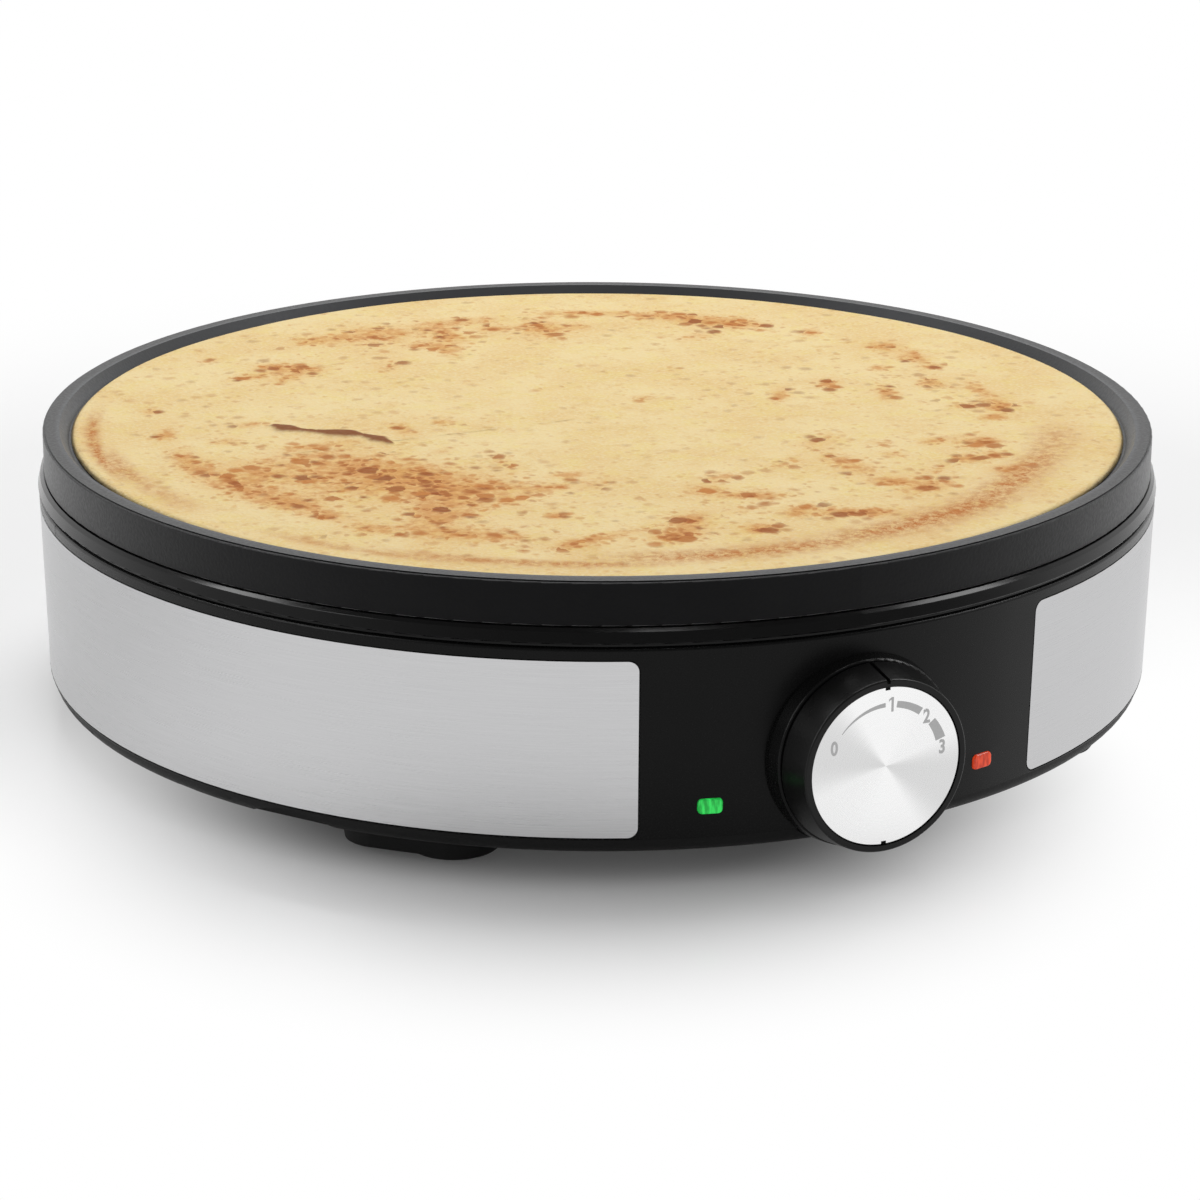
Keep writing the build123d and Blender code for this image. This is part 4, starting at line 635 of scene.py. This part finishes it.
# %% Surface of the batter
grain_size, pores_per_mm, pore_share, batter_relief = 1.1, 0.75, 0.6, 0.28
fine = add(tree, "ShaderNodeTexNoise", {"Vector": place, "Scale": 1 / grain_size, "Detail": 3.0})
pores = add(tree, "ShaderNodeTexVoronoi", {"Vector": place, "Scale": pores_per_mm})
pores = add(tree, "ShaderNodeMath", {0: pores, 1: pore_share}, operation="MULTIPLY")
height = add(tree, "ShaderNodeMath", {0: fine, 1: pores}, operation="ADD")
relief = add(tree, "ShaderNodeBump", {"Height": height, "Distance": batter_relief / 1000})
batter = add(tree, "ShaderNodeBsdfPrincipled", {
    "Base Color": colour, "Roughness": 0.7, "Specular IOR Level": 0.12, "Normal": relief})
add(tree, "ShaderNodeOutputMaterial", {"Surface": batter})
print("baked batter ready")

# %% [markdown]
# The crepe is a thin pancake of batter, spread in circles with a wooden rake. Its shape follows a
# rule, a round sheet with a wavering edge, so Geometry Nodes draw it: a grid is bent into rings and
# spokes, its rim is turned down, and a slow noise makes it lie a little uneven. The top and a flat
# underside are merged along the edge into one closed body.

# %% Running a node tree
def tree_with_sizes(name, sizes):
    tree = bpy.data.node_groups.new(name, "GeometryNodeTree")
    tree.interface.new_socket("Geometry", in_out="OUTPUT", socket_type="NodeSocketGeometry")
    for size, kind in sizes.items():
        tree.interface.new_socket(size, in_out="INPUT", socket_type="NodeSocket" + kind)
    return tree, add(tree, "NodeGroupInput").outputs


def plain_mesh(name, tree, sizes):
    """Runs a tree with these sizes and keeps the result as a plain mesh."""
    piece = bpy.data.objects.new(name, bpy.data.meshes.new(name))
    bpy.context.collection.objects.link(piece)
    modifier = piece.modifiers.new("shape", "NODES")
    modifier.node_group = tree
    for item in tree.interface.items_tree:
        if item.in_out == "INPUT":
            modifier[item.identifier] = sizes[item.name]
    seen = piece.evaluated_get(bpy.context.evaluated_depsgraph_get())
    mesh = bpy.data.meshes.new_from_object(seen)
    piece.modifiers.clear()
    piece.data = mesh
    print(name, len(mesh.vertices), "points")
    return piece


# %% Sizes of the crepe's tree
crepe_low, crepe_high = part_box("crepe")
tree, size = tree_with_sizes("round_sheet", {
    "Radius": "Float", "Underside": "Float", "Thickness": "Float", "Edge Waver": "Float",
    "Unevenness": "Float", "Rings": "Int", "Spokes": "Int", "Material": "Material"})
rim_from, rim_fall = 0.99, 2.2
edge_waves, dips_per_metre = 2.6, 9.0
underside_rings, seam_reach = 6, 1e-5
print("crepe box", crepe_low, crepe_high)

# %% [markdown]
# The rings and spokes come from a square grid that is bent: its X becomes the share of the radius,
# and its Y the turn. The edge wavers with a noise that is read on a circle, so that it meets itself.
# The height of each point comes from a rule of its own for the top and for the underside.

# %% A grid bent into rings and spokes
def bent_grid(tree, rings, spokes, height):
    """The height is a function that makes it from the share of the radius."""
    grid = add(tree, "GeometryNodeMeshGrid", {
        "Size X": 1.0, "Size Y": 1.0, "Vertices X": rings, "Vertices Y": spokes})
    flat = add(tree, "GeometryNodeInputPosition")
    flat = add(tree, "ShaderNodeSeparateXYZ", {0: flat}).outputs
    share = add(tree, "ShaderNodeMath", {0: flat["X"], 1: 0.5}, operation="ADD")
    turn = add(tree, "ShaderNodeMath", {0: flat["Y"], 1: 2 * math.pi}, operation="MULTIPLY")
    round_x, round_y = (add(tree, "ShaderNodeMath", {0: turn}, operation=way) for way in ("COSINE", "SINE"))
    around = add(tree, "ShaderNodeCombineXYZ", {"X": round_x, "Y": round_y})
    wave = add(tree, "ShaderNodeTexNoise", {"Vector": around, "Scale": edge_waves, "Detail": 3.0})
    dent = add(tree, "ShaderNodeMath", {0: wave, 1: size["Edge Waver"]}, operation="MULTIPLY")
    kept = add(tree, "ShaderNodeMath", {0: 1.0, 1: dent}, operation="SUBTRACT")
    reach = add(tree, "ShaderNodeMath", {0: share, 1: size["Radius"]}, operation="MULTIPLY")
    reach = add(tree, "ShaderNodeMath", {0: reach, 1: kept}, operation="MULTIPLY")
    bent_x, bent_y = (
        add(tree, "ShaderNodeMath", {0: reach, 1: side}, operation="MULTIPLY") for side in (round_x, round_y))
    place = add(tree, "ShaderNodeCombineXYZ", {"X": bent_x, "Y": bent_y, "Z": height(share)})
    return add(tree, "GeometryNodeSetPosition", {"Geometry": grid, "Position": place})


def sheet_top(share):
    """Full height in the middle, with slow dips, and turned down at the rim."""
    rim = add(tree, "ShaderNodeMapRange", {"Value": share, "From Min": rim_from})
    fall = add(tree, "ShaderNodeMath", {0: rim, 1: rim_fall}, operation="POWER")
    profile = add(tree, "ShaderNodeMath", {0: 1.0, 1: fall}, operation="SUBTRACT")
    dips = add(tree, "ShaderNodeTexNoise", {"Scale": dips_per_metre, "Detail": 2.0})
    sunk = add(tree, "ShaderNodeMath", {0: dips, 1: size["Unevenness"]}, operation="MULTIPLY")
    full = add(tree, "ShaderNodeMath", {0: size["Thickness"], 1: sunk}, operation="SUBTRACT")
    thick = add(tree, "ShaderNodeMath", {0: full, 1: profile}, operation="MULTIPLY")
    return add(tree, "ShaderNodeMath", {0: thick, 1: size["Underside"]}, operation="ADD")


# %% [markdown]
# The same grid is used twice: finely for the top, and with a few rings for the flat underside. The
# underside is flipped, so that it faces down. Merging by distance welds the two along the edge,
# closes the seam where the grid meets itself, and gathers the middle into one point.

# %% The crepe as a closed sheet
top = bent_grid(tree, size["Rings"], size["Spokes"], sheet_top)
under = bent_grid(tree, underside_rings, size["Spokes"], lambda share: size["Underside"])
under = add(tree, "GeometryNodeFlipFaces", {"Mesh": under})
both = add(tree, "GeometryNodeJoinGeometry", {"Geometry": top})
tree.links.new(under.outputs[0], both.inputs[0])
closed = add(tree, "GeometryNodeMergeByDistance", {"Geometry": both, "Distance": seam_reach})
smooth = add(tree, "GeometryNodeSetShadeSmooth", {"Geometry": closed})
real = add(tree, "GeometryNodeRealizeInstances", {"Geometry": smooth})
coated = add(tree, "GeometryNodeSetMaterial", {"Geometry": real, "Material": size["Material"]})
add(tree, "NodeGroupOutput", {"Geometry": coated})
crepe = plain_mesh("crepe_sheet_baked", tree, {
    "Radius": (crepe_high[0] - crepe_low[0]) / 2, "Underside": crepe_low[2],
    "Thickness": crepe_high[2] - crepe_low[2], "Edge Waver": 0.0035, "Unevenness": 0.0006,
    "Rings": 140, "Spokes": 480, "Material": baked_batter})

# %% [markdown]
# Batter browns where it touches the hottest rings of the plate and where it is thin. Those places
# are listed as rounded patches in millimetres: across, along, half length, half width,
# turn in degrees and strength. They are kept as a value on each point, "toast", which the material
# breaks up into freckles. A fold near the left side stands up, and its crest is darkened in colour:
# partly browning, partly painted shade of the wrinkle.

# %% Where the crepe is brown
toast_patches = [
    (-76, -36, 36, 16, -62, 0.45), (-80, -18, 14, 9, -60, 0.5), (-72, -37, 18, 12, -58, 0.8),
    (-58, -50, 12, 5, -8, 0.75), (-70, -61, 16, 9, 62, 0.75), (-82, -74, 12, 5, 62, 0.7),
    (-98, -6, 18, 6, 15, 0.35), (-92, -26, 12, 16, 0, 0.4), (-117, 32, 6, 3, 70, 0.8),
    (-120, 4, 14, 4, 86, 0.75), (-104, -16, 6, 5, 0, 0.6), (-115, -22, 15, 8, -75, 0.85),
    (-109, -42, 10, 6, -60, 0.85), (-104, -57, 7, 4, -60, 0.8), (-97, -73, 6, 4, -50, 0.75),
    (-80, -86, 9, 4, -40, 0.7), (-70, -92, 9, 4, -30, 0.6), (-49, -82, 3, 3, 0, 1.0),
    (-31, -49, 6, 3, 0, 0.75), (-42, -58, 7, 4, 0, 0.65), (-30, -60, 8, 6, 0, 0.4),
    (-42, -30, 3, 8, 0, 0.5), (-54, -15, 3, 3, 0, 0.5), (-54, -64, 5, 3, 30, 0.5),
    (-45, -103, 12, 3, 8, 0.7), (-29, -110, 7, 5, 20, 1.0), (-20, -100, 7, 5, 60, 0.85),
    (-7, -113, 5, 4, 0, 1.0), (-55, -107, 5, 3, 0, 0.6), (5, -86, 8, 4, -20, 0.85),
    (-4, -77, 5, 5, 0, 0.7), (5, -68, 5, 4, 0, 0.65), (10, -103, 6, 3, 30, 0.8),
    (23, -111, 12, 4, -22, 0.95), (27, -63, 7, 4, 30, 0.4), (-3, -97, 8, 3, 20, 0.4),
    (52, -98, 8, 5, 22, 0.9), (46, -91, 5, 3, 0, 0.7), (80, -92, 5, 4, 0, 0.7),
    (74, -79, 4, 4, 0, 0.85), (83, -79, 4, 4, 60, 0.8), (86, -66, 7, 6, 20, 0.85),
    (75, -60, 6, 4, 0, 0.7), (58, -67, 4, 4, 0, 0.6), (42, -76, 6, 5, 60, 0.65),
    (45, -49, 10, 6, 45, 0.55), (42, -66, 6, 6, 0, 0.6), (60, -56, 5, 3, 0, 0.5),
    (44, -88, 6, 3, 0, 0.55), (62, -85, 7, 3, 20, 0.4), (102, -46, 4, 3, 0, 1.0),
    (110, -36, 7, 4, 60, 0.85), (113, -20, 9, 3, 80, 0.75), (104, -7, 5, 4, 80, 0.8),
    (100, -32, 4, 4, 0, 0.6), (87, -11, 8, 3, 65, 0.75), (76, 4, 6, 3, 70, 0.85),
    (58, 0, 8, 3, 60, 0.75), (114, 22, 9, 5, 85, 0.75), (112, 37, 6, 6, 80, 0.75),
    (99, 15, 3, 3, 0, 0.8), (114, 9, 4, 3, 0, 0.5), (100, 60, 6, 3, 60, 0.75),
    (85, 79, 10, 7, -45, 0.85), (73, 91, 12, 6, -50, 0.8), (61, 101, 9, 4, -40, 0.65),
    (66, 70, 10, 5, 20, 0.6), (45, 111, 12, 4, -25, 0.75), (27, 99, 12, 7, 70, 0.75),
    (13, 104, 5, 3, 0, 0.9), (8, 116, 12, 5, 0, 0.7), (-3, 106, 14, 5, 88, 0.75),
    (-10, 88, 10, 4, 80, 0.8), (-22, 112, 12, 9, 5, 0.85), (-40, 112, 10, 5, 10, 0.7),
    (-58, 82, 8, 5, -25, 0.8), (-64, 88, 6, 4, -30, 0.7), (-75, 80, 8, 3, 15, 0.65),
    (-65, 74, 7, 4, 20, 0.6), (-32, 76, 10, 5, 40, 0.4), (-16, 94, 5, 4, 0, 0.6),
    (37, 95, 5, 4, 0, 0.6), (-79, 104, 4, 3, 0, 0.6), (-113, 56, 3, 3, 0, 0.75),
    (-42, 13, 3, 3, 0, 0.75), (-55, 10, 3, 7, 0, 0.7), (-104, 18, 4, 3, 0, 0.6),
    (-92, 32, 4, 3, 0, 0.65), (-75, 4, 4, 3, 0, 0.5), (20, 13, 5, 4, 0, 0.5), (42, 38, 4, 4, 0, 0.4),
    (-86, 4, 6, 3, 0, 0.6), (-50, 37, 5, 3, 0, 0.35), (0, 33, 6, 4, 0, 0.35),
    (60, 8, 40, 30, 0, 0.10), (-20, 100, 70, 25, 0, 0.2), (-80, -30, 45, 50, 0, 0.22),
    (20, -90, 70, 30, 0, 0.2), (100, -10, 25, 70, 0, 0.16), (-95, 40, 30, 45, 0, 0.12),
    (-70, -100, 40, 18, -35, 0.2)]
# along the rim: middle angle, half angle, radius, half width, strength
rim_bands = [
    (-72, 18, 129.0, 6.5, 0.85), (-52, 14, 127.0, 6.0, 0.8), (-38, 10, 128.0, 6.0, 0.55),
    (-98, 16, 131.0, 5.0, 0.8), (-122, 16, 136.0, 2.6, 0.7), (-140, 12, 138.5, 2.4, 0.5),
    (168, 14, 141.5, 2.0, 0.85), (178, 8, 138.5, 3.0, 0.65), (-172, 8, 138.0, 3.4, 0.45)]
# the crest of the fold: across, along and half width
fold_line = [
    (-87.0, 27.5, 1.2), (-84.8, 23.5, 3.0), (-81.5, 19.5, 1.3), (-78.0, 16.5, 1.4),
    (-74.5, 13.5, 3.0), (-71.0, 11.5, 3.1), (-67.8, 8.0, 1.2), (-65.4, 3.0, 2.6), (-63.8, -2.4, 1.0)]

# %% Toast and band on each point
import numpy
patch_falloff = 0.8
points = numpy.empty(3 * len(crepe.data.vertices))
crepe.data.vertices.foreach_get("co", points)
points = points.reshape(-1, 3)
across, along = points[:, 0] * 1000, points[:, 1] * 1000
pale = numpy.ones(len(points))
for x, y, half_length, half_width, turn, strength in toast_patches:
    cosine, sine = math.cos(math.radians(turn)), math.sin(math.radians(turn))
    lengthwise = ((across - x) * cosine + (along - y) * sine) / half_length
    sideways = ((along - y) * cosine - (across - x) * sine) / half_width
    pale *= 1 - strength * numpy.exp(-(lengthwise ** 2 + sideways ** 2) * patch_falloff)
radius, angle = numpy.hypot(across, along), numpy.degrees(numpy.arctan2(along, across))
banded = numpy.zeros(len(points))
for middle, half_angle, ring, half_width, strength in rim_bands:
    around = ((angle - middle + 180) % 360 - 180) / half_angle
    aside = (radius - ring) / half_width
    banded = numpy.maximum(banded, strength * numpy.exp(-around ** 4 - aside ** 2))
print("patches", len(toast_patches), "bands", len(rim_bands))

# %% [markdown]
# The fold runs along a line of points, each with its own width. A point of the sheet is as much a
# part of the fold as it is near to that line, by a bell curve. Only the upper side rises, so that
# the sheet stays flat on the plate. The three values then go onto the points as attributes.

# %% The fold, and the three values on the points
fold_height, upper_side_above = 0.0012, 0.0003
crest_least, crest_per_mm = 0.6, 0.13
folded = numpy.zeros(len(points))
for (x0, y0, width0), (x1, y1, width1) in zip(fold_line, fold_line[1:]):
    square = (x1 - x0) ** 2 + (y1 - y0) ** 2
    share = numpy.clip(((across - x0) * (x1 - x0) + (along - y0) * (y1 - y0)) / square, 0, 1)
    aside = numpy.hypot(across - x0 - share * (x1 - x0), along - y0 - share * (y1 - y0))
    width = width0 + share * (width1 - width0)
    strength = crest_least + crest_per_mm * width
    folded = numpy.maximum(folded, strength * numpy.exp(-(aside / width) ** 2))
upper = points[:, 2] > crepe_low[2] + upper_side_above
points[:, 2] += fold_height * folded * upper
crepe.data.vertices.foreach_set("co", points.ravel())
for name, values in (("toast", 1 - pale), ("band", banded), ("fold", folded)):
    attribute = crepe.data.attributes.new(name, "FLOAT", "POINT")
    attribute.data.foreach_set("value", values.astype(numpy.float32))
crepe.data.update()
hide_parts("crepe")
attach(crepe, "crepe_sheet")
print("fold stands", round(1000 * fold_height * folded.max(), 2), "mm high")

# %% [markdown]
# The scale of the dial is screen printed in silver-grey ink, whose metal flakes mirror the room as
# the disc does: four figures, and between them a band that grows wider as the plate gets hotter.
# The ink lies 0.03 mm proud of the disc, as real ink does, and turns with the dial. The bands follow
# a rule, so Geometry Nodes draw them: a strip of faces is bent into an arc and widened along it.

# %% Printing ink
ink = plain_finish(
    "screen_printed_silver_grey_ink", ("#A4A4A4", "#B2B2B2"), cloud=(0.5, 3), lumps=(0.4, 3),
    depth=0.004, rough=0.34, shader_values={"Metallic": 1.0})
scale_radius, ink_height, weld_reach = 0.0161, 0.00003, 1e-6
print("ink ready")

# %% [markdown]
# Each point of the strip knows how far along it lies. That share sets its turn round the dial and
# the width there, and sine and cosine put it in its place. The strip is then raised to the
# thickness of the ink, and its own face closes the back.

# %% The tree of a widening band
tree, size = tree_with_sizes("widening_band", {
    "Radius": "Float", "First Width": "Float", "Last Width": "Float", "First Turn": "Float",
    "Last Turn": "Float", "Thickness": "Float", "Steps": "Int", "Material": "Material"})
strip = add(tree, "GeometryNodeMeshGrid", {
    "Size X": 1.0, "Size Y": 1.0, "Vertices X": size["Steps"], "Vertices Y": 2})
flat = add(tree, "GeometryNodeInputPosition")
flat = add(tree, "ShaderNodeSeparateXYZ", {0: flat}).outputs
width, clock = (
    add(tree, "ShaderNodeMapRange", {
        "Value": flat["X"], "From Min": -0.5, "From Max": 0.5, "To Min": size[first], "To Max": size[last]})
    for first, last in (("First Width", "Last Width"), ("First Turn", "Last Turn")))
off_middle = add(tree, "ShaderNodeMath", {0: flat["Y"], 1: width}, operation="MULTIPLY")
reach = add(tree, "ShaderNodeMath", {0: off_middle, 1: size["Radius"]}, operation="ADD")
sideways, upwards = (add(tree, "ShaderNodeMath", {0: clock}, operation=way) for way in ("SINE", "COSINE"))
bent_x, bent_z = (
    add(tree, "ShaderNodeMath", {0: reach, 1: way}, operation="MULTIPLY") for way in (sideways, upwards))
bent = add(tree, "ShaderNodeCombineXYZ", {"X": bent_x, "Z": bent_z})
face = add(tree, "GeometryNodeSetPosition", {"Geometry": strip, "Position": bent})
raised = add(tree, "GeometryNodeExtrudeMesh", {
    "Mesh": face, "Offset": (0.0, -1.0, 0.0), "Offset Scale": size["Thickness"], "Individual": False})
both = add(tree, "GeometryNodeJoinGeometry", {"Geometry": raised})
tree.links.new(face.outputs[0], both.inputs[0])
closed = add(tree, "GeometryNodeMergeByDistance", {"Geometry": both, "Distance": weld_reach})
real = add(tree, "GeometryNodeRealizeInstances", {"Geometry": closed})
inked = add(tree, "GeometryNodeSetMaterial", {"Geometry": real, "Material": size["Material"]})
add(tree, "NodeGroupOutput", {"Geometry": inked})
print("tree of the bands:", len(tree.nodes), "nodes")

# %% The three bands
# first and last turn from the top in degrees, first and last width in millimetres
bands = [(-51, -2, 0.15, 1.15), (9.5, 36, 1.7, 2.0), (52, 72, 2.3, 2.8)]
printed = []
for first, last, first_width, last_width in bands:
    band = plain_mesh("band", tree, {
        "Radius": scale_radius, "First Width": first_width / 1000, "Last Width": last_width / 1000,
        "First Turn": math.radians(first), "Last Turn": math.radians(last),
        "Thickness": ink_height, "Steps": 24, "Material": ink})
    printed.append(band.data)
    bpy.data.objects.remove(band)

# %% [markdown]
# The figures are text, made a mesh before they are placed, because a finished piece keeps its place
# in its mesh. Each one is scaled to the same height, narrowed, and set upright round the dial. The
# built-in 1 is a bare bar, so it gets its flag, a small slanted block that starts at its top.

# %% Figures
figure_height, narrowed, fattened, letter_depth = 0.0038, 0.78, 0.03, 0.1
flag_reach, flag_drop, flag_width, flag_bite = 0.00075, 0.00055, 0.0005, 0.00002


def span(mesh, axis):
    places = [v.co[axis] for v in mesh.vertices]
    return min(places), max(places)


def figure_mesh(figure, turn):
    writing = bpy.data.curves.new("figure_" + figure, "FONT")
    writing.body = figure
    writing.extrude, writing.offset = letter_depth, fattened
    holder = bpy.data.objects.new("figure_" + figure, writing)
    bpy.context.collection.objects.link(holder)
    seen = holder.evaluated_get(bpy.context.evaluated_depsgraph_get())
    mesh = bpy.data.meshes.new_from_object(seen)
    bpy.data.objects.remove(holder)
    (left, right), (bottom, top), (back, front) = (span(mesh, axis) for axis in range(3))
    growth = figure_height / (top - bottom)
    for v in mesh.vertices:
        x, y, z = v.co.x - (left + right) / 2, v.co.y - (bottom + top) / 2, v.co.z - (back + front) / 2
        v.co = (scale_radius * math.sin(turn) + x * growth * narrowed, -ink_height if z > 0 else 0.0,
                scale_radius * math.cos(turn) + y * growth)
    return mesh


def flag_beside(bar):
    near, top = span(bar, 0)[0] + flag_bite, span(bar, 2)[1] - flag_bite
    far, drop = near - flag_reach, flag_drop
    outline = [(near, top), (near, top - flag_width), (far, top - flag_width - drop), (far, top - drop)]
    flag = bpy.data.meshes.new("flag_of_the_1")
    flag.from_pydata([(x, -height, z) for height in (0.0, ink_height) for x, z in outline], [],
                     [(0, 1, 2, 3), (7, 6, 5, 4), (0, 4, 5, 1), (1, 5, 6, 2), (2, 6, 7, 3), (3, 7, 4, 0)])
    return flag


figures = [("0", -65), ("1", 5), ("2", 44), ("3", 80)]
for figure, turn in figures:
    printed.append(figure_mesh(figure, math.radians(turn)))
    if figure == "1":
        printed.append(flag_beside(printed[-1]))
print(len(printed), "printed marks")

# %% [markdown]
# All marks are one layer of ink, so they become one piece. Text gives each face its own points, so
# doubles are merged first, and then all normals are turned outwards.

# %% The print as one piece
shape = bmesh.new()
for mesh in printed:
    shape.from_mesh(mesh)
bmesh.ops.remove_doubles(shape, verts=shape.verts, dist=weld_reach)
bmesh.ops.recalc_face_normals(shape, faces=shape.faces)
bmesh.ops.translate(shape, verts=shape.verts, vec=dial_centre)
for face in shape.faces:
    face.material_index = 0
open_edges = sum(1 for edge in shape.edges if not edge.is_manifold)
dial_print = bpy.data.objects.new("dial_print", bpy.data.meshes.new("dial_print"))
shape.to_mesh(dial_print.data)
shape.free()
dial_print.data.materials.append(ink)
bpy.context.collection.objects.link(dial_print)
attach(dial_print, "knob")
print("dial print:", len(dial_print.data.polygons), "faces,", open_edges, "open edges")
